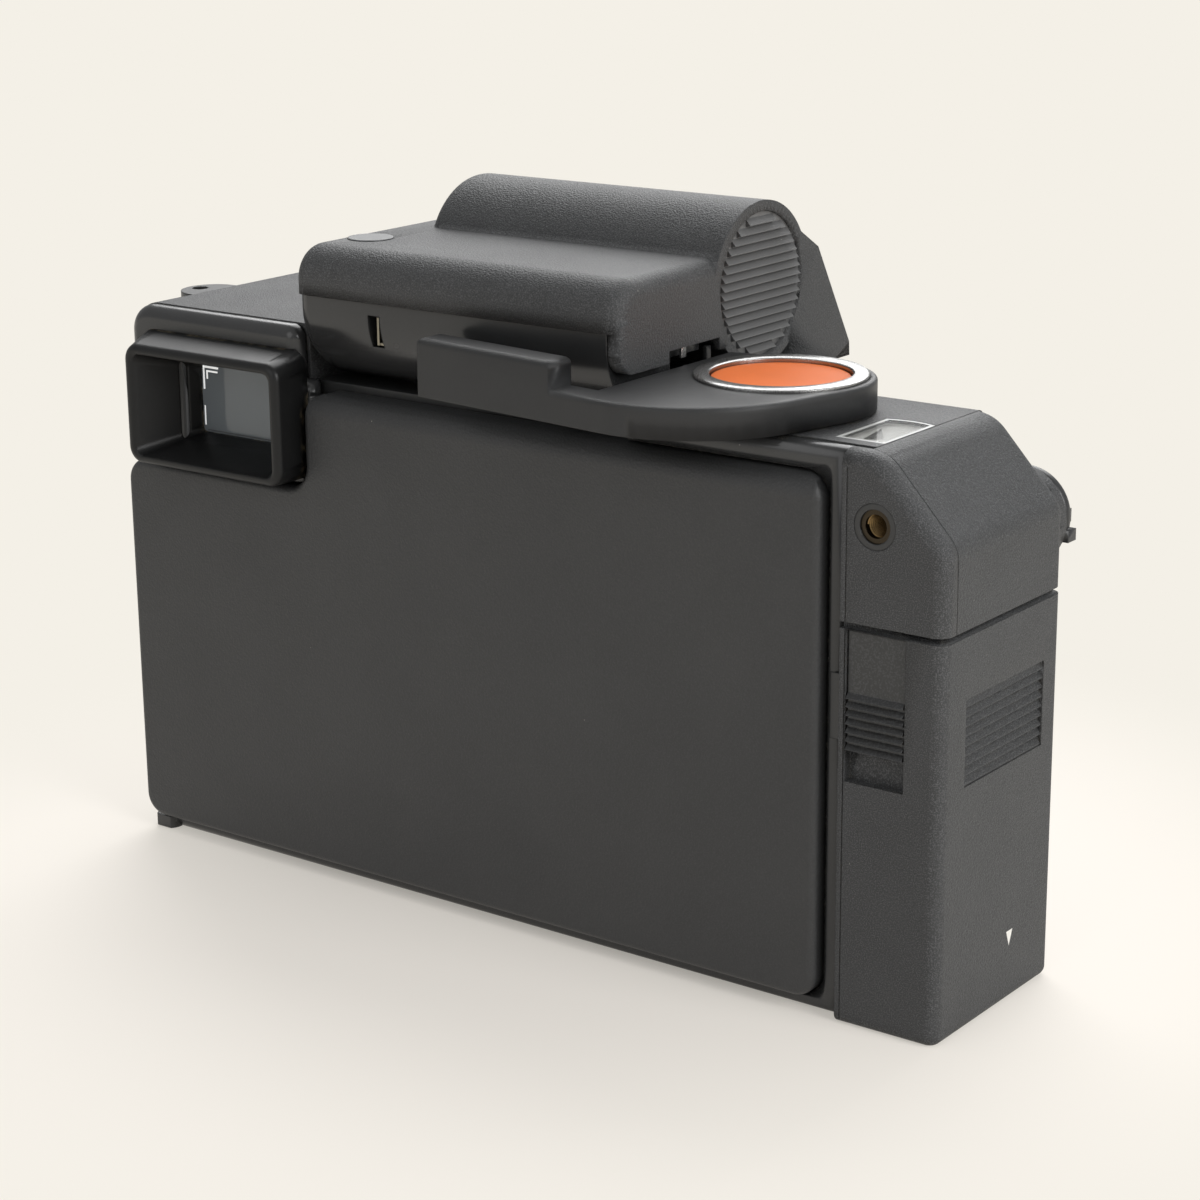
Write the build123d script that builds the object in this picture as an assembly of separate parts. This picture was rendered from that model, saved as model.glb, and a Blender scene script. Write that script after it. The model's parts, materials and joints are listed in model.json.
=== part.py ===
from build123d import *
import os
from math import cos, pi, sin

# A compact film camera with a folding flash, in millimetres.
# The origin is the mouth of the tripod socket. +Z is up, +Y is the back, +X is the eyepiece side.
# A depth is measured forwards from the plane of the grip column's back.

# Whole body
socket_depth = 17.0
body_depth = 34.0
wall = 1.6
seat = 0.1
gap = 0.3
fit = 0.05
body_corner = 3.0
end_corner = 3.5

# Film path, which sets the width of the body
film_x = 6.25
film_z = 31.6
frame_wide = 36.0
frame_tall = 24.0
film_wide = 35.0
film_plane = 5.7
gate_back = 7.2
plate_half = (frame_wide + 6.6) / 2
plate_tall = 16.5
plate_back = film_plane - 0.4
plate_front = plate_back - 0.8
cartridge_radius = 13.2
cartridge_x = film_x + plate_half + 17.65
cartridge_depth = cartridge_radius + 3.7
chamber_low = 8.0
chamber_high = chamber_low + 47.0
sprocket_radius = 4.4
sprocket_x = film_x - plate_half - 3.85
sprocket_depth = film_plane + 4.9
sprocket_teeth = 6
perforation_offset = 14.08
spool_radius = 5.0
spool_chamber = 9.6
hub_x = sprocket_x - 13.0
hub_depth = spool_chamber + 3.9
hub_radius = 11.1
end_x = cartridge_x + cartridge_radius + 3.6

# Grip column and its cells
grip_width = 13.3
grip_depth = 27.0
grip_inner = spool_chamber + 7.2 - hub_x
grip_outer = grip_inner + grip_width
cell_radius = 5.25
cell_length = 44.5
cell_low = 2.4
cell_x = -(grip_outer - cell_radius - 2.0)
cell_depths = (cell_radius + 4.05, cell_radius * 3 + 4.3)
grip_top = cell_low + cell_length + 0.5
groove = 0.8
groove_inset = 0.9
panel_thickness = 2.5

# Heights
deck_top = grip_top + 20.1
cover_top = deck_top + 4.8
sill_top = deck_top - 2.3
cover_split = deck_top - 11.3

# Sloped end
slope_start = grip_outer - 9.0
slope_foot = deck_top - 9.7
slope_bend = 5.2
slope_corner = 3.5
deck_end = grip_outer - 10.9

# Latch and finger recess
latch_left = grip_inner + 0.8
latch_right = latch_left + 7.7
latch_low = grip_top - 17.8
latch_pocket = 1.3
slider_height = 14.0
slider_travel = 3.4
slider_ribs = 7
hook_low = film_z + 6.4
channel_x = -(latch_left + 3.7)
channel_depth = latch_pocket + 1.4
channel_low = grip_top - 13.2
finger_near = 5.1
finger_far = finger_near + 17.8
finger_low = 29.9
finger_high = 40.15
finger_sink = 0.8
finger_ribs = 9

# Battery flap
door_x0 = -(grip_outer - 1.7)
door_x1 = -(grip_inner + 0.7)
door_d0 = cell_depths[0] - cell_radius - 1.45
door_d1 = cell_depths[1] + cell_radius + 0.1
lid_pin_x = door_x1 - 0.9
lid_pin_z = 0.95
lid_thick = 1.6

# Chassis
rim_depth = 1.2
rim_back = 3.3
rim_rounding = 1.7
recess_depth = 3.9
recess_room = 0.25
box_start = 5.2
box_front = body_depth - 2.2
tunnel_end = box_front - 2.3
chassis_left = end_x - 1.8

# Back door
door_right = grip_inner - 2.5
door_left = end_x - 0.3
door_low = 2.1
door_high = sill_top - 0.9
door_proud = 0.7
door_front = 3.7
door_skin = 1.5
door_rounding = 1.0
door_crown = 2.8
hinge_x = end_x - 2.6
hinge_depth = 1.6
hinge_radius = 2.1
hinge_pin = 0.8
hinge_swing = 3.3
seal_x1 = door_right - 0.5
seal_x0 = seal_x1 - 1.4
seal_back = recess_depth + 0.8

# Flash unit
flash_right = hub_x + hub_radius + 2.3
flash_left = film_x + 25.25
flash_rear = 0.0
cheek_low = deck_top + 4.3
flash_seam = cheek_low + 4.9
flash_top = flash_seam + 6.0
flash_corner = 4.2
flash_end_corner = 2.2
cheek_thick = 1.8
cheek_corner = 2.4
barrel_left = flash_left - 5.0
barrel_depth = body_depth - 4.4
barrel_z = flash_seam + 1.7
barrel_radius = 10.2
disc_radius = 8.9
disc_ribs = 16
pivot_depth = 10.0
pivot_z = flash_seam - 1.7
pivot_pin = 1.0
nose_radius = pivot_z - sill_top - gap
ear_thick = 1.3
ear_radius = 2.2
ear_places = (flash_left - 22.0, flash_right + 8.9)
lock_notch = (10.2, barrel_depth - 9.0)
post_depth = lock_notch[1] - 1.3
tongue_x0, tongue_x1 = flash_left - 13.8, flash_left - 11.9
tongue_low, tongue_high = flash_seam - 5.6, flash_seam - 1.6
block_high = sill_top + 0.7
brow_depth = body_depth + 16.0
brow_inner = brow_depth - 3.6
brow_low = block_high + 0.4
chin_depth = body_depth + 4.4
chin_wall = 2.4
chin_low = brow_low - 8.2
glass_width = 40.0
glass_tall = 9.6
window_tilt = 45.0
trough_half = glass_tall / 2 - 0.4
trough_deep = 5.5
lamp_x = flash_left - 4.7
lamp_depth = 9.7
lamp_radius = 2.9

# Eyepiece and viewfinder
glass_x0, glass_x1 = flash_left + 2.9, end_x - 10.4
glass_z0, glass_z1 = cover_split - 0.2, cover_top - 7.5
glass_depth = 3.9
glass_thick = 1.0
eye_x0, eye_x1 = glass_x0 - 3.8, glass_x1 + 5.5
eye_z0, eye_z1 = cover_split - 3.5, cover_top - 4.0
eye_proud = 4.5
eye_wall = 1.2
eye_flare = 2.3
eye_rise = 1.0
notch_x = eye_x0 - 0.6
notch_z = eye_z0 - 0.7
eye_window_x0 = glass_x0
eye_window_x1 = glass_x1 + 1.6
eye_window_z0 = glass_z0 + 1.2
eye_window_z1 = glass_z1 + 2.0
tube_x0, tube_x1 = glass_x0 - 0.8, glass_x1 + 1.8
tube_z0, tube_z1 = cover_split - 0.1, glass_z1 + 1.8

# Wind lever and release button
lever_low = deck_top + 0.3
lever_top = deck_top + 4.0
block_top = lever_top + 3.3
block_x0, block_x1 = hub_x + 16.9, hub_x + 38.3
arm_rear = -5.9
arm_thick = 4.3
arm_slope = 0.118
bulge_x = hub_x + 7.1
bulge_depth = hub_depth - 6.9
bulge_radius = 16.1
ring_top = lever_top + 0.5
ring_outer = 10.2
button_radius = 8.2
button_top = lever_top - 0.1
spigot_radius = 8.9
hub_floor = deck_top - 1.3
shaft_radius = 2.8
plunger_radius = 1.5

# Frame counter
wind_top = deck_top - 5.5
dial_shaft = 1.2
dial_x = hub_x - 9.5
dial_depth = hub_depth - 1.6
dial_radius = 6.6
dial_top = deck_top - 2.7
window_x0, window_x1 = -(deck_end - 0.2), -(deck_end - 6.6)
window_d0, window_d1 = 5.2, 16.2

# Lens
block_half = 27.25
block_front = body_depth + 14.0
block_low = 3.5
lens_bore = 17.5
lens_reach = block_front + 5.0
bezel_back = block_front - 0.4
ring_radius = 20.0
ring_grips = 36
selector_x = -(grip_outer - 6.7)
selector_z = deck_top - 12.3
selector_radius = 5.6
selector_back = grip_depth + 4.0

# Sockets and screws
socket_radius = 3.175
socket_length = 5.5
bush_radius = 6.0
cable_x = -(grip_outer - 9.05)
cable_z = deck_top - 8.0
cable_radius = 1.35
cable_ring = 2.64
step_x = flash_right - 3.5
lug_depth = 16.5
lug_radius = 4.2
lug_hole = 1.1
lug_drop = 0.5
lug_thick = 1.8
screw_places = (
    (end_x - 7.0, 9.0),
    (end_x - 7.0, body_depth - 4.5),
    (flash_right + 4.5, body_depth - 4.5),
    (-(grip_inner - 5.7), 9.0),
)

back_y = socket_depth


# Placing and drawing
def slab(x0, x1, d0, d1, z0, z1):
    """A box between two x, two depths and two heights."""
    middle = Pos((x0 + x1) / 2, back_y - (d0 + d1) / 2, (z0 + z1) / 2)
    return middle * Box(abs(x1 - x0), abs(d1 - d0), abs(z1 - z0))


def rod_z(x, d, r, z0, z1):
    return Pos(x, back_y - d, (z0 + z1) / 2) * Cylinder(r, z1 - z0)


def rod_y(x, z, r, d0, d1):
    return Pos(x, back_y - (d0 + d1) / 2, z) * Rot(90, 0, 0) * Cylinder(r, d1 - d0)


def rod_x(d, z, r, x0, x1):
    return Pos((x0 + x1) / 2, back_y - d, z) * Rot(0, 90, 0) * Cylinder(r, x1 - x0)


def ring_y(x, z, outer, inner, d0, d1):
    return rod_y(x, z, outer, d0, d1) - rod_y(x, z, inner, d0 - 1, d1 + 1)


def ring_z(x, d, outer, inner, z0, z1):
    return rod_z(x, d, outer, z0, z1) - rod_z(x, d, inner, z0 - 1, z1 + 1)


def from_back(sketch, d0, d1):
    """Extrude a sketch drawn in x and z, from one depth to another."""
    return extrude(Plane.XZ.offset(d0 - back_y) * sketch, d1 - d0)


def from_above(sketch, z0, z1):
    return extrude(Plane.XY.offset(z0) * sketch, z1 - z0)


def from_side(sketch, x0, x1):
    """Extrude a sketch drawn in y and z, from one x to another."""
    return extrude(Plane.YZ.offset(x0) * sketch, x1 - x0)


def outline(*points):
    return make_face(Polyline(*points, close=True))


def side_outline(*points):
    """An outline drawn in depth and height, for from_side."""
    return outline(*[(back_y - d, z) for d, z in points])


def window(x0, x1, z0, z1, corner):
    return Pos((x0 + x1) / 2, (z0 + z1) / 2) * RectangleRounded(x1 - x0, z1 - z0, corner)


def rear_edges(part):
    return part.faces().sort_by(Axis.Y)[-1].edges()


# Back door
door_outline = outline(
    (door_left, door_low),
    (door_left, notch_z),
    (notch_x, notch_z),
    (notch_x, door_high),
    (-door_right, door_high),
    (-door_right, door_low),
)


def crown_face(rear, top, radius):
    """The door seen from the side: its top edge rounds over more than the others."""
    shoulder = radius * cos(pi / 4)
    front = rear - door_proud - door_front
    return make_face([
        Line((front, 0), (rear, 0)),
        Line((rear, 0), (rear, top - radius)),
        ThreePointArc((rear, top - radius), (rear - radius + shoulder, top - radius + shoulder), (rear - radius, top)),
        Line((rear - radius, top), (front, top)),
        Line((front, top), (front, 0)),
    ])


def make_back_door():
    face = fillet(door_outline.vertices(), body_corner)
    door = from_back(face, -door_proud, door_front)
    door = fillet(rear_edges(door), door_rounding)
    door &= from_side(crown_face(back_y + door_proud, door_high, door_crown), -door_right, door_left)
    rim = door_crown
    door -= slab(-door_right + rim, hinge_x - 5, door_skin, door_front + 1, door_low + rim, notch_z - rim)
    door -= slab(-door_right + rim, notch_x - rim, door_skin, door_front + 1, notch_z - 5, door_high - rim)
    end = slab(hinge_x, door_left + 1, hinge_depth, door_front + 1, 0, cover_top)
    door -= end - rod_z(hinge_x, hinge_depth, hinge_radius, -1, cover_top + 1)
    return door - rod_z(hinge_x, hinge_depth, hinge_pin + fit, 0, cover_top)


def make_hinge_pin():
    return rod_z(hinge_x, hinge_depth, hinge_pin, door_low - 1.6, notch_z + 1.8)


def make_pressure_plate():
    plate = window(film_x - plate_half, film_x + plate_half, film_z - plate_tall, film_z + plate_tall, 2)
    return from_back(plate, plate_front, plate_back)


def make_pressure_springs():
    """Two bowed leaf springs between the door's skin and the pressure plate."""
    springs = []
    thick = 0.3
    rise = plate_front - door_skin - thick
    for side in (-1, 1):
        middle = film_x + side * 11
        strip = ThreePointArc((middle - 7, 0), (middle, -rise), (middle + 7, 0))
        face = make_face([strip, Line(strip @ 1, strip @ 1 + Vector(0, -thick)),
                          ThreePointArc((middle + 7, -thick), (middle, -rise - thick), (middle - 7, -thick)),
                          Line((middle - 7, -thick), (middle - 7, 0))])
        springs.append(Pos(0, back_y - door_skin, 0) * from_above(face, film_z - 3, film_z + 3))
    return springs


# Chassis
def make_chassis():
    rim_outline = outline(
        (end_x - seat, 0),
        (end_x - seat, cover_top - 0.1),
        (flash_left + 0.8, cover_top - 0.1),
        (flash_left + 0.8, sill_top + 0.2),
        (flash_right - 0.4, sill_top + 0.2),
        (flash_right - 0.4, deck_top - 0.1),
        (-grip_inner + 0.2, deck_top - 0.1),
        (-grip_inner + 0.2, 0),
    )
    high = rim_outline.vertices().sort_by(Axis.Y)[-2:].sort_by(Axis.X)
    rim_face = fillet(high[1], end_corner)
    rim_face = fillet(rim_face.vertices().sort_by_distance((flash_left + 0.8, cover_top - 0.1))[0], 1.8)
    rim = from_back(rim_face, rim_depth, rim_back)
    rim = fillet(rear_edges(rim), rim_rounding)
    film_box = slab(flash_right, chassis_left, rim_back, box_front, wall + 0.2, cover_split - 0.2)
    wind_box = slab(-grip_inner + 2.0, flash_right, rim_back, grip_depth - wall - 0.2, wall + 0.2, wind_top)
    lower_rim = slab(-grip_inner + 0.2, end_x - seat, rim_back, box_start, 0.4, cover_split - 0.2)
    body = rim + lower_rim + film_box + wind_box
    body += slab(flash_right - 1, flash_left + 0.3, rim_back, box_start + 0.4, cover_split - 1.2, sill_top - wall - seat)
    body += slab(-grip_inner + 2.0, flash_right - 0.4, rim_back, box_start - 0.3, wind_top - 1, hub_floor - 1.5)

    # The door closes into a recess that is open at the hinge end and below the flash.
    room = recess_room
    recess = fillet(door_outline.vertices(), body_corner)
    body -= from_back(offset(recess, room), -1, recess_depth)
    body -= slab(hinge_x, end_x + 1, 0, recess_depth, door_low - room, notch_z + room)
    body -= rod_z(hinge_x, hinge_depth, hinge_swing, door_low - room, notch_z + room)
    body -= slab(flash_right - 0.4, notch_x + room, 0, recess_depth, door_high - 1, sill_top + 1)
    for low, high in ((0.2, door_low - room), (notch_z + room, notch_z + 2)):
        boss = rod_z(hinge_x, hinge_depth, hinge_radius - 0.3, low, high)
        body += boss - slab(hinge_x - 4, hinge_x + 4, -4, rim_depth - 0.9, low - 1, high + 1)
    body -= rod_z(hinge_x, hinge_depth, hinge_pin + fit, door_low - 1.7, notch_z + 1.9)

    # Film channel, gate pocket and light tunnel
    low = film_z - film_wide / 2 - 0.2
    high = film_z + film_wide / 2 + 0.2
    body -= slab(hub_x - spool_chamber, cartridge_x, recess_depth - 1, film_plane + 0.4, low, high)
    body -= slab(sprocket_x + 5.6, film_x + plate_half + 2, recess_depth - 1, gate_back, low - 2.2, high + 2.2)
    near = Plane.XZ.offset(gate_back - back_y) * Pos(film_x, film_z) * Rectangle(frame_wide + 0.6, frame_tall + 0.6)
    far = Plane.XZ.offset(tunnel_end - back_y) * Pos(film_x, film_z) * Rectangle(25, 19)
    body -= loft([near, far])
    body -= rod_y(film_x, film_z, 15.1, tunnel_end, box_front + 1)

    # Cartridge chamber, take-up chamber and sprocket well
    body -= rod_z(cartridge_x, cartridge_depth, cartridge_radius, chamber_low, chamber_high)
    body -= slab(cartridge_x - cartridge_radius, cartridge_x + cartridge_radius, 3, cartridge_depth,
                 chamber_low, chamber_high)
    body -= rod_z(hub_x, hub_depth, spool_chamber, low - 0.5, high + 0.5)
    body -= slab(hub_x - spool_chamber, hub_x + spool_chamber, 3, hub_depth, low - 0.5, high + 0.5)
    body -= rod_z(sprocket_x, sprocket_depth, sprocket_radius + 1.3, low - 0.5, high + 0.5)
    body -= slab(sprocket_x - 5.7, sprocket_x + 5.5, 3, sprocket_depth, low - 0.5, high + 0.5)

    # Bearings
    body -= rod_z(hub_x, hub_depth, 2.0 + fit, low - 3.5, high + 3.5)
    body -= rod_z(sprocket_x, sprocket_depth, 1.5 + fit, low - 3.5, high + 3.5)
    body -= rod_z(cartridge_x, cartridge_depth, 2.0 + fit, 3.5, chamber_low + 1)
    body -= rod_z(dial_x, dial_depth, dial_shaft + fit, wind_top - 4, wind_top + 1)
    body -= rod_z(hub_x, hub_depth, shaft_radius + fit, wind_top - 5.2, wind_top + 1)

    # Tripod bush, eyepiece spigot, latch hook and the foam seal's groove
    body -= rod_z(0, socket_depth, bush_radius + fit, 0, socket_length + 1.5)
    body -= slab(glass_x0 - 1.0, glass_x1 + 1.0, 0, box_start + 1, glass_z0 - 0.9, glass_z1 + 0.9)
    body -= slab(-grip_inner, -door_right - 0.2, 1.3, 2.6, hook_low - slider_travel - 0.2, hook_low + 3.2)
    body -= slab(-seal_x1, -seal_x0, recess_depth - 1, seal_back, door_low + 3.9, door_high - 3.3)
    for x, d in screw_places:
        body -= rod_z(x, d, 1.0 + 0.02, 0, 4.6)
    return body


def make_light_seal():
    return slab(-seal_x1 + fit, -seal_x0 - fit, recess_depth - 0.1, seal_back - fit,
                door_low + 4.0, door_high - 3.4)


def make_film_gate():
    """The plate round the picture frame, with two pairs of film rails."""
    half = plate_half + 1.5
    plate = slab(sprocket_x + 5.7, film_x + half, film_plane + 0.5, gate_back, film_z - 19.4, film_z + 19.4)
    for rail in (12.7, 17.8):
        for side in (-1, 1):
            z = film_z + side * rail
            plate += slab(sprocket_x + 6.2, film_x + half - 1, film_plane, film_plane + 0.6, z - 0.4, z + 0.4)
    return plate - slab(film_x - frame_wide / 2, film_x + frame_wide / 2, 0, 10,
                        film_z - frame_tall / 2, film_z + frame_tall / 2)


def make_sprocket():
    """Two toothed wheels on one shaft, at the film's perforation lines."""
    end = film_wide / 2
    part = rod_z(sprocket_x, sprocket_depth, 2.6, film_z - end, film_z + end)
    part += rod_z(sprocket_x, sprocket_depth, 1.5, film_z - end - 2.8, film_z + end + 2.8)
    tooth_face = outline((sprocket_radius - 0.5, -0.7), (sprocket_radius + 0.9, -0.3),
                         (sprocket_radius + 0.9, 0.3), (sprocket_radius - 0.5, 0.7))
    for side in (-1, 1):
        z = film_z + side * perforation_offset
        part += rod_z(sprocket_x, sprocket_depth, sprocket_radius, z - 1.4, z + 1.4)
        for k in range(sprocket_teeth):
            turn = Rot(0, 0, 360 / sprocket_teeth * (k + 0.5))
            part += Pos(sprocket_x, back_y - sprocket_depth, 0) * turn * from_above(tooth_face, z - 0.9, z + 0.9)
    return part


def make_take_up_spool():
    end = film_wide / 2
    part = rod_z(hub_x, hub_depth, spool_radius, film_z - end, film_z + end)
    part += rod_z(hub_x, hub_depth, 2.0, film_z - end - 2.8, film_z + end + 2.8)
    for z in (film_z - end, film_z + end - 1.2):
        part += rod_z(hub_x, hub_depth, spool_radius + 1.2, z, z + 1.2)
    for k in range(4):
        slot = slab(hub_x + spool_radius - 1.2, hub_x + spool_radius + 1, hub_depth - 0.6, hub_depth + 0.6,
                    film_z - 12, film_z + 12)
        part -= slot.rotate(Axis((hub_x, back_y - hub_depth, 0), (0, 0, 1)), 90 * k)
    return part


def make_rewind_fork():
    part = rod_z(cartridge_x, cartridge_depth, 4.5, chamber_low + 0.1, chamber_low + 1.3)
    part += rod_z(cartridge_x, cartridge_depth, 2.0, 3.7, chamber_low + 1)
    part += rod_z(cartridge_x, cartridge_depth, 2.2, chamber_low + 1, chamber_low + 4)
    return part - slab(cartridge_x - 0.8, cartridge_x + 0.8, cartridge_depth - 4, cartridge_depth + 4,
                       chamber_low + 1.3, chamber_low + 6)


# Covers
def make_front_cover():
    """The shell round the front, bottom and hinge end, stepped back beside the grip."""
    plan = outline(
        (end_x, back_y - box_start - seat),
        (end_x, back_y - body_depth),
        (step_x, back_y - body_depth),
        (step_x, back_y - grip_depth),
        (-grip_inner + 0.2, back_y - grip_depth),
        (-grip_inner + 0.2, back_y - box_start - seat),
    )
    step_corner = (body_depth - grip_depth) * 0.35
    front = plan.vertices().sort_by(Axis.Y)[0:2].sort_by(Axis.X)
    plan = fillet(front[1], body_corner)
    plan = fillet(plan.vertices().sort_by_distance((step_x, back_y - body_depth))[0], step_corner)
    plan = fillet(plan.vertices().sort_by_distance((step_x, back_y - grip_depth))[0], step_corner)
    shell = from_above(plan, 0, deck_top - wall - seat)
    shell = fillet(shell.faces().sort_by(Axis.Z)[0].edges().filter_by(lambda e: e.center().Y < back_y - 6), 1.2)
    inside = outline(
        (end_x - wall, back_y),
        (end_x - wall, back_y - body_depth + wall),
        (step_x + wall, back_y - body_depth + wall),
        (step_x + wall, back_y - grip_depth + wall),
        (-grip_inner + 0.2 + wall, back_y - grip_depth + wall),
        (-grip_inner + 0.2 + wall, back_y),
    )
    shell -= from_above(inside, wall, deck_top)
    shell -= slab(flash_left + 0.4, end_x + 1, 0, body_depth + 1, cover_split, cover_top)
    shell -= slab(flash_right - 0.3, flash_left + 0.5, 0, body_depth + 1, sill_top - wall - seat, cover_top)
    shell -= slab(-grip_inner - 1, -grip_inner + 3, 0, grip_depth - wall, deck_top - 4.1, cover_top)
    shell -= rod_y(film_x, film_z, 15.1, body_depth - 3, body_depth + 1)
    shell -= rod_z(0, socket_depth, bush_radius + fit, -1, wall + 1)
    for x, d in screw_places:
        shell -= rod_z(x, d, 1.9, -1, 1.0)
        shell -= rod_z(x, d, 1.05, 0, wall + 1)
    return shell


def viewfinder_blank():
    """The outside of the viewfinder cover as one solid, round at its top outer edge."""
    low = cover_split + seat
    face = outline(
        (end_x, low),
        (end_x, cover_top),
        (flash_left + 0.4, cover_top),
        (flash_left + 0.4, low),
    )
    shoulder = face.vertices().sort_by_distance((end_x, cover_top))[0]
    blank = from_back(fillet(shoulder, end_corner), rim_back + seat, body_depth)
    front = blank.faces().sort_by(Axis.Y)[0].edges()
    return fillet([e for e in front if e.center().Z > low + 1 and e.center().X > flash_left + 1], 1.8)


def make_viewfinder_cover():
    shell = viewfinder_blank()
    room = slab(flash_left + 0.4 + wall, end_x - wall, 0, body_depth - wall, 0, cover_top - wall)
    room = fillet(room.edges().filter_by(Axis.Y).sort_by_distance((end_x, 0, cover_top))[0], end_corner - wall)
    shell -= room
    return shell - slab(eye_window_x0, eye_window_x1, body_depth - 3, body_depth + 1,
                        eye_window_z0, eye_window_z1)


def make_wind_deck():
    plate = slab(-deck_end + seat, flash_right - 0.7, rim_back + seat, grip_depth, deck_top - wall, deck_top)
    front_edge = plate.edges().filter_by(Axis.X).group_by(Axis.Y)[0].sort_by(Axis.Z)[-1]
    plate = fillet(front_edge, 1.2)
    plate -= rod_z(hub_x, hub_depth, spigot_radius + gap, 0, cover_top)
    return plate - from_above(counter_opening(), 0, cover_top)


def counter_opening():
    """The frame window: square at the back, arched at the far end."""
    near = back_y - window_d0
    far = back_y - window_d1
    return make_face([
        Line((window_x0, near), (window_x1, near)),
        Line((window_x1, near), (window_x1, far)),
        ThreePointArc((window_x1, far), ((window_x0 + window_x1) / 2, far - 0.6), (window_x0, far)),
        Line((window_x0, far), (window_x0, near)),
    ])


def make_counter_window():
    return from_above(offset(counter_opening(), -fit), deck_top - wall + 0.4, deck_top - 0.05)


def make_counter_dial():
    part = rod_z(dial_x, dial_depth, dial_radius, dial_top - 0.8, dial_top)
    return part + rod_z(dial_x, dial_depth, dial_shaft, wind_top - 3.5, dial_top - 0.4)


def column_face():
    """The sloped end of the grip column, seen from the back."""
    face = outline(
        (-grip_inner, grip_top + groove),
        (-grip_outer, grip_top + groove),
        (-grip_outer, slope_foot),
        (-slope_start, deck_top),
        (-grip_inner, deck_top),
    )
    face = fillet(face.vertices().sort_by_distance((-slope_start, deck_top))[0], slope_bend)
    return fillet(face.vertices().sort_by_distance((-grip_outer, slope_foot))[0], slope_corner)


def make_end_cover():
    part = from_back(column_face(), panel_thickness + seat, grip_depth)
    front = part.faces().sort_by(Axis.Y)[0]
    rounded = front.edges().filter_by(lambda e: e.center().X < -grip_inner - 0.5 and e.center().Z > grip_top + 2)
    part = fillet(rounded, 1.8)
    part -= slab(-deck_end, 0, 0, grip_depth + 1, deck_top - wall - seat, cover_top)
    thin = 1.5
    cavity = outline(
        (-grip_inner + 1, grip_top),
        (-grip_outer + thin, grip_top),
        (-grip_outer + thin, slope_foot - 1.2),
        (-slope_start - 0.4, deck_top - thin - 1.4),
        (-deck_end + 0.5, deck_top - wall - thin),
        (-grip_inner + 1, deck_top - wall - thin),
    )
    part -= from_back(cavity, 0, grip_depth - thin)
    part += rod_y(selector_x, selector_z, selector_radius + 0.6, grip_depth - 0.5, grip_depth + 1.2)
    return part - rod_y(selector_x, selector_z, 1.5 + fit, grip_depth - 3, grip_depth + 3)


def make_rewind_selector():
    """A round knob with a finger tip at its rim and a shaft kept by a washer behind the cover."""
    knob = rod_y(selector_x, selector_z, selector_radius, grip_depth + 1.4, selector_back)
    knob = fillet(knob.faces().sort_by(Axis.Y)[0].edges(), 0.9)
    tip = slab(selector_x - selector_radius - 0.5, selector_x - selector_radius + 1.5,
               grip_depth + 1.9, selector_back - 0.2, selector_z - 2.6, selector_z - 1.2)
    grip_bar = slab(selector_x - selector_radius + 0.7, selector_x + selector_radius - 0.7,
                    selector_back - 0.5, selector_back + 0.8, selector_z - 0.8, selector_z + 0.8)
    shaft = rod_y(selector_x, selector_z, 1.5, grip_depth - 2.0, grip_depth + 2)
    washer = rod_y(selector_x, selector_z, 3.0, grip_depth - 2.6, grip_depth - 1.7)
    return knob + tip + grip_bar + shaft + washer


def make_release_panel():
    part = from_back(column_face(), 0, panel_thickness)
    ridge = rear_edges(part).filter_by(lambda e: e.center().X < -grip_inner - 0.5 and e.center().Z > grip_top + 3)
    part = fillet(ridge, 1.7)
    part -= border_line(grip_top, deck_top - 1.8)
    return part - rod_y(cable_x, cable_z, cable_ring + 0.02, -1, panel_thickness + 2)


def border_line(low, high):
    """The fine groove along the inner border of the column's back."""
    return slab(-latch_left + 0.05, -latch_left + 0.2, -1, 0.2, low, high)


def make_release_escutcheon():
    return ring_y(cable_x, cable_z, cable_ring, 1.95, 0.05, panel_thickness)


def make_release_bush():
    return ring_y(cable_x, cable_z, 1.93, cable_radius, 0.3, 6.0)


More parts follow.
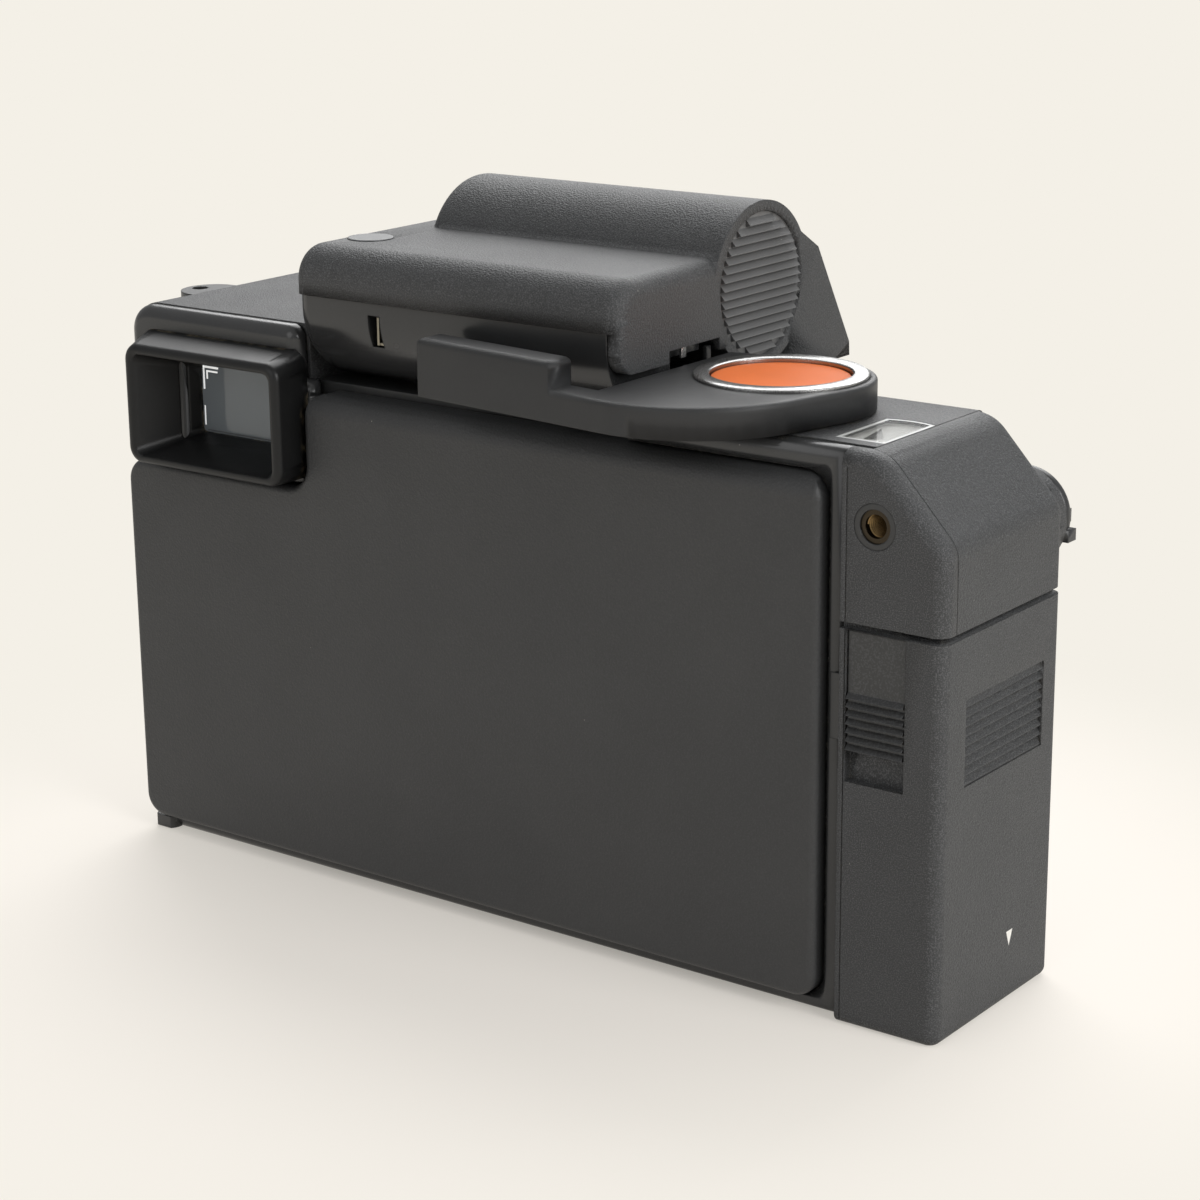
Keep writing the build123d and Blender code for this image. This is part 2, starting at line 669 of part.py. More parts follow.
# Grip column
def make_grip_housing():
    plan = outline(
        (-grip_inner, back_y),
        (-grip_outer, back_y),
        (-grip_outer, back_y - grip_depth),
        (-grip_inner, back_y - grip_depth),
    )
    outer = plan.vertices().sort_by(Axis.X)[0:2]
    part = from_above(fillet(outer, 1.6), 0, grip_top)
    part = fillet(part.faces().sort_by(Axis.Z)[0].edges().filter_by(lambda e: e.center().X < -grip_inner - 1), 1.2)
    part += slab(-grip_outer + groove_inset, -grip_inner, groove_inset, grip_depth - groove_inset,
                 grip_top, grip_top + groove)
    for d in cell_depths:
        part -= rod_z(cell_x, d, cell_radius + 0.15, 1.0, cell_low + cell_length + 0.4)
    part -= slab(cell_x - 2.5, cell_x + 2.5, cell_depths[0], cell_depths[1], 1.0, cell_low + cell_length + 0.4)
    part -= slab(door_x0 - 0.2, door_x1 + 0.25, door_d0 - 0.2, door_d1 + 0.2, -1, cell_low)
    part -= rod_y(lid_pin_x, lid_pin_z, 0.5 + fit, door_d0 - 1.3, door_d1 + 1.3)

    # Latch pocket with a deeper spring channel, and the slot for the latch's hook
    part -= slab(-latch_right, -latch_left, -1, latch_pocket, latch_low, grip_top - 0.05)
    part -= slab(channel_x - 1.4, channel_x + 1.4, 0, channel_depth, channel_low, grip_top - 0.5)
    part -= slab(-latch_left - 1.4, -grip_inner + 1, 1.2, 2.6, hook_low - slider_travel - 0.2, hook_low + 3.2)

    # Ribbed finger recess in the side
    part -= slab(-grip_outer - 1, -grip_outer + finger_sink, finger_near, finger_far, finger_low, finger_high)
    pitch = (finger_high - finger_low) / finger_ribs
    for k in range(finger_ribs):
        z = finger_low + k * pitch
        rib = outline((-grip_outer + finger_sink, z), (-grip_outer + 0.1, z + 0.15),
                      (-grip_outer + finger_sink, z + pitch))
        part += from_back(rib, finger_near, finger_far)
    return part - border_line(-1, latch_low - 0.5) - border_line(latch_low - 0.5, grip_top + 1)


def make_battery_door():
    """The flap under the cells, round at its hinge end."""
    part = slab(door_x0, lid_pin_x, door_d0, door_d1, 0.05, 0.05 + lid_thick)
    part += rod_y(lid_pin_x, lid_pin_z, 0.88, door_d0, door_d1)
    for k in range(3):
        part -= slab(door_x0 + 1.2 + 1.3 * k, door_x0 + 1.8 + 1.3 * k, 9, 19, -1, 0.35)
    return part - rod_y(lid_pin_x, lid_pin_z, 0.55, door_d0 - 1, door_d1 + 1)


def make_battery_hinge_pin():
    return rod_y(lid_pin_x, lid_pin_z, 0.5, door_d0 - 1.2, door_d1 + 1.2)


def make_batteries():
    """Two cells, each with its raised positive end."""
    cells = []
    for k, d in enumerate(cell_depths):
        low = cell_low + (0.8 if k else 0)
        cell = rod_z(cell_x, d, cell_radius, low, low + cell_length - 0.8)
        nub = (low - 0.8, low) if k else (low + cell_length - 0.8, low + cell_length)
        cells.append(cell + rod_z(cell_x, d, 1.9, nub[0], nub[1]))
    return cells


def make_battery_contacts():
    plates = []
    top = cell_low + cell_length
    for d in cell_depths:
        plates.append(slab(cell_x - 3, cell_x + 3, d - 3, d + 3, top + 0.05, top + 0.35))
    return plates


def make_latch_slider():
    high = grip_top - 0.2
    low = high - slider_height
    part = slab(-latch_right + 0.2, -latch_left - 0.2, 0.35, latch_pocket - fit, low, high)
    pitch = slider_height / 2 / slider_ribs
    for k in range(slider_ribs):
        z = low + k * pitch
        rib = side_outline((0.5, z), (-0.25, z + 0.25 * pitch), (0.5, z + pitch))
        part += from_side(rib, -latch_right + 0.2, -latch_left - 0.2)
    part += slab(channel_x - 1.2, channel_x + 1.2, latch_pocket - 0.2, channel_depth - 0.2, high - 4, high - 0.6)
    hook = slab(-latch_left - 1, -door_right - 0.3, 1.4, 2.4, hook_low, hook_low + 3)
    arm = slab(-latch_left - 1.2, -latch_left - 0.2, latch_pocket - 0.3, 2.4, hook_low, hook_low + 3)
    return part + hook + arm


def coil(radius, wire, turns, height):
    """A round-wire spring on +Z from the origin."""
    path = Helix(pitch=height / turns, height=height, radius=radius)
    start = Plane(origin=path @ 0, z_dir=path % 0)
    return sweep(start * Circle(wire), path=path)


def make_latch_spring():
    low = channel_low + 0.3
    high = grip_top - 0.2 - 4 - 0.3
    return Pos(channel_x, back_y - 2.0, low) * coil(0.45, 0.14, 6, high - low)


# Eyepiece and viewfinder
def make_eyepiece_frame():
    """The hood round the eyepiece: it flares towards the body at its top and outer side."""
    mouth_plane = Plane.XZ.offset(-eye_proud - back_y)
    base_plane = Plane.XZ.offset(rim_depth - back_y)
    hood = loft([
        mouth_plane * window(eye_x0, eye_x1, eye_z0, eye_z1, 2.2),
        base_plane * window(eye_x0, eye_x1 + eye_flare, eye_z0, eye_z1 + eye_rise, 2.2),
    ])
    hood = fillet(rear_edges(hood), 0.9)
    hood -= rod_z(hinge_x, hinge_depth, hinge_radius - 0.25, eye_z0 - 1, notch_z + 2.05)
    hood += slab(glass_x0 - 0.9, glass_x1 + 0.9, rim_depth - 0.5, glass_depth + glass_thick,
                 glass_z0 - 0.8, glass_z1 + 0.8)
    mouth = window(eye_x0 + eye_wall, eye_x1 - eye_wall, eye_z0 + eye_wall - 0.1, eye_z1 - eye_wall + 0.1, 1.2)
    throat = window(glass_x0, glass_x1, glass_z0, glass_z1, 0.6)
    hood -= loft([
        Plane.XZ.offset(-eye_proud - 0.01 - back_y) * mouth,
        Plane.XZ.offset(glass_depth + 0.01 - back_y) * throat,
    ])
    return hood - slab(glass_x0 - 0.4, glass_x1 + 0.4, glass_depth, glass_depth + 3, glass_z0 - 0.4, glass_z1 + 0.4)


def make_eyepiece_lens():
    return slab(glass_x0 - 0.35, glass_x1 + 0.35, glass_depth + 0.02, glass_depth + glass_thick,
                glass_z0 - 0.35, glass_z1 + 0.35)


def make_viewfinder_tube():
    part = slab(tube_x0, tube_x1, box_start + seat, body_depth - wall - 0.2, tube_z0, tube_z1)
    return part - slab(tube_x0 + 1, tube_x1 - 1, 0, body_depth, tube_z0 + 1, tube_z1 - 1)


def make_viewfinder_window():
    return slab(eye_window_x0 + fit, eye_window_x1 - fit, body_depth - wall, body_depth - 0.3,
                eye_window_z0 + fit, eye_window_z1 - fit)


def make_strap_lug():
    """A flat eyelet seated against the rounded end of the viewfinder cover."""
    low, high = cover_top - lug_drop - lug_thick, cover_top - lug_drop
    plate = rod_z(end_x - 0.6, lug_depth, lug_radius, low, high)
    plate -= slab(flash_left, end_x - end_corner, 0, body_depth, low - 1, high + 1)
    plate -= viewfinder_blank()
    return plate - rod_z(end_x + 1.7, lug_depth, lug_hole, low - 1, high + 1)


# Wind lever and release button
def arm_front(x):
    """The depth of the arm's front face, which runs parallel to its rear."""
    return arm_rear + arm_thick - arm_slope * (block_x1 - x)


def lever_plan():
    """A round hub that swells to the rear and runs into a straight arm along the flash."""
    hub = Pos(hub_x, back_y - hub_depth) * Circle(hub_radius)
    bulge = Pos(bulge_x, back_y - bulge_depth) * Circle(bulge_radius)
    end = Line((block_x1, back_y - arm_rear), (block_x1, back_y - arm_front(block_x1)))
    whole = make_hull(hub.edges() + bulge.edges()) + make_hull(bulge.edges() + [end])
    web_x = flash_right - 0.6
    return whole - outline(
        (web_x, back_y - arm_front(web_x)),
        (block_x1 + 2, back_y - arm_front(block_x1 + 2)),
        (block_x1 + 2, back_y - barrel_depth),
        (web_x, back_y - barrel_depth),
    )


def make_wind_lever():
    plan = lever_plan()
    part = from_above(plan, lever_low, lever_top)
    block_area = Pos((block_x0 + block_x1) / 2, back_y + 5) * Rectangle(block_x1 - block_x0, 12)
    block = from_above(plan & block_area, lever_low, block_top)
    block = fillet(block.faces().sort_by(Axis.Z)[-1].edges(), 0.8)
    part = fillet(part.faces().sort_by(Axis.Z)[-1].edges(), 0.5)
    part += block
    part += rod_z(hub_x, hub_depth, spigot_radius, hub_floor - 1.2, lever_low + 0.5)
    part -= rod_z(hub_x, hub_depth, button_radius + 0.1, hub_floor, ring_top)
    part -= rod_z(hub_x, hub_depth, ring_outer, ring_top - 1.2, ring_top + 1)
    return part - rod_z(hub_x, hub_depth, plunger_radius + 0.1, 0, ring_top)


def make_lever_ring():
    part = ring_z(hub_x, hub_depth, ring_outer - 0.02, button_radius + 0.1, ring_top - 1.18, ring_top)
    return chamfer(part.faces().sort_by(Axis.Z)[-1].edges(), 0.25)


def make_wind_shaft():
    return ring_z(hub_x, hub_depth, shaft_radius, plunger_radius + 0.1, wind_top - 5, hub_floor - 1.2)


def make_release_button():
    cap = rod_z(hub_x, hub_depth, button_radius, button_top - 1.0, button_top)
    return fillet(cap.faces().sort_by(Axis.Z)[-1].edges(), 0.2)


def make_release_plunger():
    return rod_z(hub_x, hub_depth, plunger_radius, wind_top - 3.8, button_top - 1.0)


def make_release_spring():
    low = hub_floor + 0.35
    high = button_top - 1.0 - 0.35
    return Pos(hub_x, back_y - hub_depth, low) * coil(4.0, 0.3, 3, high - low)


# Flash unit
def brow_side(low_shoulder):
    """The sloped brow and its chin, seen from the side. The left end starts lower, behind the barrel."""
    if low_shoulder:
        shoulder = [
            (barrel_depth, flash_top - 3.8),
            (barrel_depth + 11.0, flash_top - 4.2),
        ]
    else:
        shoulder = [
            (barrel_depth, barrel_z + barrel_radius - 3.2),
            (barrel_depth + 8.4, barrel_z + 5.5),
            (barrel_depth + 12.7, flash_top - 1.4),
        ]
    return side_outline(
        *shoulder,
        (brow_depth - 0.1, brow_low + 1.8),
        (brow_depth, brow_low),
        (brow_inner, brow_low),
        (brow_inner, brow_low - 0.2),
        (chin_depth, chin_low),
        (chin_depth - chin_wall, chin_low),
        (chin_depth - chin_wall, cheek_low),
        (barrel_depth, cheek_low),
    )


def make_flash_shell():
    """The grained upper half: a flat deck, a barrel across it and the sloped brow over the lens."""
    deck = slab(flash_right, flash_left, flash_rear, barrel_depth, flash_seam, flash_top)
    rear_top = deck.edges().filter_by(Axis.X).group_by(Axis.Y)[-1].sort_by(Axis.Z)[-1]
    deck = fillet(rear_top, flash_corner)
    middle = (flash_left + flash_right) / 2
    span = (flash_left - flash_right) / 2
    ends = [e for e in deck.edges() if abs(abs(e.center().X - middle) - span) < 0.01
            and e.center().Z > flash_seam + 0.5 and e.center().Y > back_y - barrel_depth + 0.5]
    deck = fillet(ends, flash_end_corner)
    barrel = rod_x(barrel_depth, barrel_z, barrel_radius, flash_right, barrel_left)
    left_rim = barrel.faces().sort_by(Axis.X)[-1].edges()
    barrel = fillet(left_rim, 2.0)
    brow = from_side(brow_side(False), flash_right, barrel_left - 1.5)
    brow += from_side(brow_side(True), barrel_left - 2.5, flash_left)
    cheek = slab(flash_right, flash_right + cheek_thick, flash_rear + 0.6, barrel_depth, cheek_low, flash_seam + 1)
    heel = cheek.edges().filter_by(Axis.X).group_by(Axis.Y)[-1].sort_by(Axis.Z)[0]
    cheek = fillet(heel, cheek_corner)
    shell = deck + barrel + brow + cheek
    shell -= slab(flash_right - 1, flash_right + 4, lock_notch[0], lock_notch[1], cheek_low - 1, cheek_low + 1.5)

    # The ribbed grip sits in a shallow round recess in the end of the barrel.
    shell -= rod_x(barrel_depth, barrel_z, disc_radius, flash_right - 1, flash_right + 0.9)
    shell -= reflector_space()
    for x in ear_places:
        shell -= rod_x(pivot_depth, pivot_z, ear_radius + gap, x - gap, x + ear_thick + gap)
    return shell - rod_z(lamp_x, lamp_depth, lamp_radius + fit, flash_top - 1.0, flash_top + 1)


def tilted(part):
    """Place a part drawn facing the front, so that it faces the front once the flash is raised."""
    middle_d = (brow_inner + chin_depth) / 2
    middle_z = (brow_low - 0.2 + chin_low) / 2
    return Pos(film_x, back_y - middle_d, middle_z) * Rot(window_tilt, 0, 0) * part


def trough_face(half, depth):
    """The outline of the space behind the flash window, from its mouth to its bowed back."""
    bowl = ThreePointArc((0.4, -half), (depth, 0), (0.4, half))
    return make_face([bowl, Line(bowl @ 1, bowl @ 0)])


def reflector_space():
    back = extrude(Plane.YZ.offset(-glass_width / 2 + 0.3) * trough_face(trough_half + 0.1, trough_deep + 0.1),
                   glass_width - 0.6)
    return tilted(back + Pos(0, -0.9, 0) * Box(glass_width, 2.8, glass_tall))


def make_flash_window():
    return tilted(Pos(0, -0.5, 0) * Box(glass_width - 0.1, 0.9, glass_tall - 0.1))


def make_flash_reflector():
    """A bright trough, bowed behind the tube."""
    face = trough_face(trough_half, trough_deep) - trough_face(trough_half - 0.5, trough_deep - 0.5)
    return tilted(extrude(Plane.YZ.offset(-glass_width / 2 + 0.6) * face, glass_width - 1.2))


def make_flash_tube():
    return tilted(Pos(0, 2.8, 0) * Rot(0, 90, 0) * Cylinder(1.2, glass_width - 1.2))


def make_ready_lamp():
    lamp = rod_z(lamp_x, lamp_depth, lamp_radius, flash_top - 1.0, flash_top + 0.15)
    return fillet(lamp.faces().sort_by(Axis.Z)[-1].edges(), 0.12)


def make_flash_underside():
    """The smooth lower half, a round nose about the pivot, slotted for the hinge ears."""
    x0 = flash_right + cheek_thick + seat
    nose = back_y - pivot_depth
    top = flash_seam - 0.03
    front = back_y - barrel_depth + barrel_radius + 0.4
    face = make_face([
        Line((nose + nose_radius, top), (nose + nose_radius, pivot_z)),
        ThreePointArc((nose + nose_radius, pivot_z),
                      (nose + nose_radius * cos(pi / 4), pivot_z - nose_radius * sin(pi / 4)),
                      (nose, pivot_z - nose_radius)),
        Line((nose, pivot_z - nose_radius), (nose - 3, pivot_z - nose_radius)),
        Line((nose - 3, pivot_z - nose_radius), (nose - 3, cheek_low + 0.1)),
        Line((nose - 3, cheek_low + 0.1), (front, cheek_low + 0.1)),
        Line((front, cheek_low + 0.1), (front, top)),
        Line((front, top), (nose + nose_radius, top)),
    ])
    part = from_side(face, x0, flash_left)
    for x in ear_places:
        part -= slab(x - gap, x + ear_thick + gap, -2, pivot_depth + 6, 60, pivot_z)
        part -= rod_x(pivot_depth, pivot_z, ear_radius * 2 ** 0.5 + gap, x - gap, x + ear_thick + gap)
    part -= slab(tongue_x0, tongue_x1, -2, 3.2, tongue_low, tongue_high)
    return part - rod_x(pivot_depth, pivot_z, pivot_pin + fit, x0 - 1, flash_left + 1)


def make_flash_cradle():
    """The plate under the flash, with two hinge ears and the lock post at the right."""
    part = slab(flash_right - 0.2, flash_left + 0.2, recess_depth + seat, body_depth - 0.1, sill_top - wall, sill_top)
    for x in ear_places:
        part += slab(x, x + ear_thick, pivot_depth - ear_radius, pivot_depth + ear_radius, sill_top - 0.5, pivot_z)
        part += rod_x(pivot_depth, pivot_z, ear_radius, x, x + ear_thick)
    part -= rod_x(pivot_depth, pivot_z, pivot_pin + 0.01, flash_right, flash_left)
    return part + slab(flash_right + 1.0, flash_right + 1.6, post_depth, post_depth + 0.9,
                       sill_top - 0.5, cheek_low + 0.5)


def make_flash_hinge_pin():
    return rod_x(pivot_depth, pivot_z, pivot_pin, ear_places[1] - 4, ear_places[0] + ear_thick + 6)


def make_flash_grip():
    """A ribbed finger disc in the end of the barrel."""
    x = flash_right
    disc = rod_x(barrel_depth, barrel_z, disc_radius - fit, x + 0.45, x + 0.85)
    pitch = 2 * (disc_radius - 0.6) / disc_ribs
    for k in range(disc_ribs):
        z = barrel_z - disc_radius + 0.6 + k * pitch
        reach = disc_radius - 0.6
        middle = z + pitch / 2 - barrel_z
        half = (reach ** 2 - middle ** 2) ** 0.5
        rib = outline((x + 0.5, z), (x - 0.25, z + 0.2), (x + 0.5, z + pitch))
        disc += from_back(rib, barrel_depth - half, barrel_depth + half)
    return disc & rod_x(barrel_depth, barrel_z, disc_radius - fit, x - 1, x + 1)


# Lens
def make_lens_housing():
    x0, x1 = film_x - block_half, film_x + block_half
    block = slab(x0, x1, body_depth + seat, block_front, block_low, block_high)
    block = fillet(block.edges().filter_by(Axis.Z).group_by(Axis.Y)[0], 4.0)
    front = block.faces().sort_by(Axis.Y)[0]
    block = fillet([e for e in front.edges() if e.center().Z < block_high - 1], 1.5)
    block -= slab(flash_right - 0.4, flash_left + 0.4, chin_depth - chin_wall - 0.4, brow_inner + 0.4,
                  chin_low - 0.6, cover_top)
    return block - rod_y(film_x, film_z, lens_bore, body_depth - 1, block_front + 1)


def make_lens_tube():
    part = ring_y(film_x, film_z, lens_bore - fit, 15.6, body_depth + seat, block_front - 0.2)
    return part + ring_y(film_x, film_z, 15.8, 9.3, body_depth + 1.2, body_depth + 3.2)


def make_shutter_housing():
    part = ring_y(film_x, film_z, 15.0, 8.5, tunnel_end + 0.05, body_depth + 0.1)
    return part


def lens_element(radius, edge, rise, d0):
    """A glass with a flat rear at depth d0 and a front that bulges by rise in the middle."""
    ball = (radius ** 2 + rise ** 2) / (2 * rise)
    front = d0 + edge + rise
    blank = rod_y(film_x, film_z, radius, d0, front + 1)
    return blank & (Pos(film_x, back_y - front + ball, film_z) * Sphere(ball))


def make_rear_lens():
    return lens_element(8.4, 2.0, 0.8, tunnel_end + 1.0)


def make_inner_lens():
    return lens_element(9.25, 1.4, 0.8, body_depth + 1.3)


def make_shutter_blades():
    """Two blades that meet over the aperture, one just in front of the other."""
    blades = []
    for k, side in enumerate((-1, 1)):
        d0 = body_depth + 0.15 + 0.35 * k
        disc = rod_y(film_x, film_z, 12.5, d0, d0 + 0.25)
        keep = slab(film_x - 1.2 if side > 0 else film_x - 20, film_x + 20 if side > 0 else film_x + 1.2,
                    d0 - 1, d0 + 1, film_z - 20, film_z + 20)
        blades.append(disc & keep)
    return blades


def make_focus_ring():
    ring = ring_y(film_x, film_z, ring_radius, 14.6, block_front + gap, lens_reach)
    outer = ring.faces().sort_by(Axis.Y)[0].edges()
    ring = fillet(outer, 0.6)
    pitch = 2 * pi / ring_grips
    for k in range(ring_grips):
        a = k * pitch
        ring -= rod_y(film_x + (ring_radius + 0.2) * cos(a), film_z + (ring_radius + 0.2) * sin(a), 0.6,
                      block_front + 1.2, block_front + 4.0)
    return ring + ring_y(film_x, film_z, 15.6 - fit, 14.0, body_depth + 5, block_front + 1)


def make_lens_bezel():
    """The ring round the front glass, dished towards it."""
    profile = make_face(Polyline((10.05, 0), (13.95, 0), (13.95, 4.2), (13.0, 4.2), (10.05, 1.6), close=True))
    turned = revolve(profile, Axis.Y, 360)
    return Pos(film_x, back_y - bezel_back, film_z) * Rot(180, 0, 0) * turned


def make_front_lens():
    return lens_element(10.0, 1.3, 1.8, bezel_back + 0.05)


# Sockets, screws and inner parts
def make_tripod_bush():
    part = rod_z(0, socket_depth, bush_radius, 0, socket_length + 1.3)
    return part - rod_z(0, socket_depth, socket_radius, -1, socket_length)


def make_cover_screws():
    screws = []
    for x, d in screw_places:
        screw = rod_z(x, d, 1.8, 0.15, 0.98) + rod_z(x, d, 1.0, 0.9, 4.4)
        slot = slab(x - 1.2, x + 1.2, d - 0.2, d + 0.2, 0, 0.5) + slab(x - 0.2, x + 0.2, d - 1.2, d + 1.2, 0, 0.5)
        screws.append(screw - slot)
    return screws


def make_flash_capacitor():
    can = rod_y(-(grip_outer - 6.8), grip_top + groove + 6.4, 4.8, panel_thickness + 5, grip_depth - 3.5)
    return chamfer(can.edges(), 0.4)


def make_circuit_board():
    return slab(flash_right + 2, flash_left - 1, box_start + 1.3, body_depth - 3, cover_split + 0.1, cover_split + 1.3)


def build():
    nodes = {
        "chassis": make_chassis(),
        "film_gate": make_film_gate(),
        "light_seal": make_light_seal(),
        "front_cover": make_front_cover(),
        "viewfinder_cover": make_viewfinder_cover(),
        "wind_deck": make_wind_deck(),
        "end_cover": make_end_cover(),
        "release_panel": make_release_panel(),
        "release_escutcheon": make_release_escutcheon(),
        "release_bush": make_release_bush(),
        "grip_housing": make_grip_housing(),
        "batteries": make_batteries(),
        "battery_contacts": make_battery_contacts(),
        "battery_door": make_battery_door(),
        "battery_hinge_pin": make_battery_hinge_pin(),
        "latch_slider": make_latch_slider(),
        "latch_spring": make_latch_spring(),
        "back_door": make_back_door(),
        "door_hinge_pin": make_hinge_pin(),
        "pressure_plate": make_pressure_plate(),
        "pressure_springs": make_pressure_springs(),
        "sprocket": make_sprocket(),
        "take_up_spool": make_take_up_spool(),
        "rewind_fork": make_rewind_fork(),
        "eyepiece_frame": make_eyepiece_frame(),
        "eyepiece_lens": make_eyepiece_lens(),
        "viewfinder_tube": make_viewfinder_tube(),
        "viewfinder_window": make_viewfinder_window(),
        "strap_lug": make_strap_lug(),
        "wind_lever": make_wind_lever(),
        "lever_ring": make_lever_ring(),
        "wind_shaft": make_wind_shaft(),
        "release_button": make_release_button(),
        "release_plunger": make_release_plunger(),
        "release_spring": make_release_spring(),
        "counter_dial": make_counter_dial(),
        "counter_window": make_counter_window(),
        "flash_shell": make_flash_shell(),
        "flash_underside": make_flash_underside(),
        "flash_cradle": make_flash_cradle(),
        "flash_hinge_pin": make_flash_hinge_pin(),
        "flash_grip": make_flash_grip(),
        "flash_window": make_flash_window(),
        "flash_reflector": make_flash_reflector(),
        "flash_tube": make_flash_tube(),
        "ready_lamp": make_ready_lamp(),
        "flash_capacitor": make_flash_capacitor(),
        "circuit_board": make_circuit_board(),
        "rewind_selector": make_rewind_selector(),
        "lens_housing": make_lens_housing(),
        "lens_tube": make_lens_tube(),
        "shutter_housing": make_shutter_housing(),
        "shutter_blades": make_shutter_blades(),
        "rear_lens": make_rear_lens(),
        "inner_lens": make_inner_lens(),
        "focus_ring": make_focus_ring(),
        "lens_bezel": make_lens_bezel(),
        "front_lens": make_front_lens(),
        "tripod_bush": make_tripod_bush(),
        "cover_screws": make_cover_screws(),
    }
    os.makedirs("parts", exist_ok=True)
    for name, shape in nodes.items():
        if isinstance(shape, list):
            shape = Compound(children=shape)
        export_step(shape, f"parts/{name}.step")
        print(name)


if __name__ == "__main__":
    build()
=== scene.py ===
import bpy
import bmesh
import json
from math import cos, pi, radians, sin, sqrt
from mathutils import Matrix, Vector


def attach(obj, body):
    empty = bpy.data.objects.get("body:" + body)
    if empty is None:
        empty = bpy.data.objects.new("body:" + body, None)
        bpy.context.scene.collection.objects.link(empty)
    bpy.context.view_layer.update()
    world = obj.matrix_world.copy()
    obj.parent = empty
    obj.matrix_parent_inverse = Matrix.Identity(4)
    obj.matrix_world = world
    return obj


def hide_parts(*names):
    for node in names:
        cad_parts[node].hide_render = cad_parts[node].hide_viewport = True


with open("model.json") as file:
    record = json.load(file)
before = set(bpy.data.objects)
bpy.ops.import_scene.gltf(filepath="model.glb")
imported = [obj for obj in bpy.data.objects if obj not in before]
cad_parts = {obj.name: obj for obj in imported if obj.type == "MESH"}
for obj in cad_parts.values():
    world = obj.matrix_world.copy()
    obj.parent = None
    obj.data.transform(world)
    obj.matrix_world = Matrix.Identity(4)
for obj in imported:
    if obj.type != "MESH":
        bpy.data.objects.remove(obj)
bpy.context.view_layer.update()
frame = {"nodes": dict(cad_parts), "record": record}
nodes = frame["nodes"]
mm = 0.001
backPlane = 17.0  # mm, how far the grip column's back lies behind the origin


def spot(x, depth, z):  # a place in metres from mm: across, forward of the column's back, and up
    return Vector((x, backPlane - depth, z)) * mm


def addObject(name, data):
    thing = bpy.data.objects.new(name, data)
    bpy.context.scene.collection.objects.link(thing)
    return thing


def aimed(place, target):  # stands at place and looks at target
    look = (target - place).to_track_quat("-Z", "Y").to_matrix().to_4x4()
    return Matrix.Translation(place) @ look


# The photograph's camera, fitted to the edges of the body
view = dict(place=(-207.93, 273.49, 138.57), target=(-15.70, 17.0, 45.08), roll=-0.54,
            focalPixels=2848.19, imagePixels=1200, sensor=36.0, nearest=0.01)


def makeCamera():
    data = bpy.data.cameras.new("photoCamera")
    data.sensor_width = view["sensor"]
    data.lens = view["focalPixels"] / view["imagePixels"] * view["sensor"]
    data.clip_start = view["nearest"]
    cam = addObject("photoCamera", data)
    roll = Matrix.Rotation(radians(view["roll"]), 4, "Z")
    cam.matrix_world = aimed(Vector(view["place"]) * mm, Vector(view["target"]) * mm) @ roll
    bpy.context.scene.camera = cam


makeCamera()
print("camera set")


# Light and background, lengths in metres
studio = dict(background=(0.905, 0.871, 0.799), worldLevel=0.42, floorColour=(0.93, 0.875, 0.82),
              floorSize=12.0, fadeFrom=0.03, fadeTo=0.125, fadeLeast=0.3)
lamps = {
    "overhead": dict(place=(0.28, -0.55, 0.62), aim=(0.0, 0.0, 0.05), size=0.9, power=7.5),
    "sideSoft": dict(place=(-0.85, 0.10, 0.45), aim=(-0.03, 0.0, 0.04), size=0.6, power=6.2),
    "frontFill": dict(place=(0.10, 0.90, 0.50), aim=(0.0, 0.0, 0.04), size=0.8, power=1.6),
}


def addNode(tree, kind, settings=None, inputs=None):
    node = tree.nodes.new("ShaderNode" + kind)
    for key, value in (settings or {}).items():
        setattr(node, key, value)
    for key, value in (inputs or {}).items():
        if hasattr(value, "is_output"):
            tree.links.new(value, node.inputs[key])
        else:
            node.inputs[key].default_value = value
    return node


def seenRays(tree):  # 1 for what the eye, a reflection or a window sees, 0 for light that bounces
    path = addNode(tree, "LightPath")
    either = addNode(tree, "Math", dict(operation="MAXIMUM"),
                     {0: path.outputs["Is Camera Ray"], 1: path.outputs["Is Glossy Ray"]})
    return addNode(tree, "Math", dict(operation="MAXIMUM"),
                   {0: either.outputs[0], 1: path.outputs["Is Transmission Ray"]}).outputs[0]


def makeWorld():
    world = bpy.data.worlds.new("studioWorld")
    world.use_nodes = True
    bpy.context.scene.world = world
    tree = world.node_tree
    lit = tree.nodes["Background"]
    lit.inputs["Color"].default_value = (1, 1, 1, 1)
    lit.inputs["Strength"].default_value = studio["worldLevel"]
    seen = addNode(tree, "Background", None, {"Color": (*studio["background"], 1), "Strength": 1.0})
    path = addNode(tree, "LightPath")
    direct = addNode(tree, "Math", dict(operation="MAXIMUM"),
                     {0: path.outputs["Is Camera Ray"], 1: path.outputs["Is Transmission Ray"]}).outputs[0]
    mix = addNode(tree, "MixShader", None, {0: direct, 1: lit.outputs[0], 2: seen.outputs[0]})
    tree.links.new(mix.outputs[0], tree.nodes["World Output"].inputs["Surface"])


def makeLamps():
    for name, lamp in lamps.items():
        data = bpy.data.lights.new(name, "AREA")
        data.shape = "DISK"
        data.size = lamp["size"]
        data.energy = lamp["power"]
        thing = addObject(name, data)
        thing.matrix_world = aimed(Vector(lamp["place"]), Vector(lamp["aim"]))
        thing.visible_camera = False


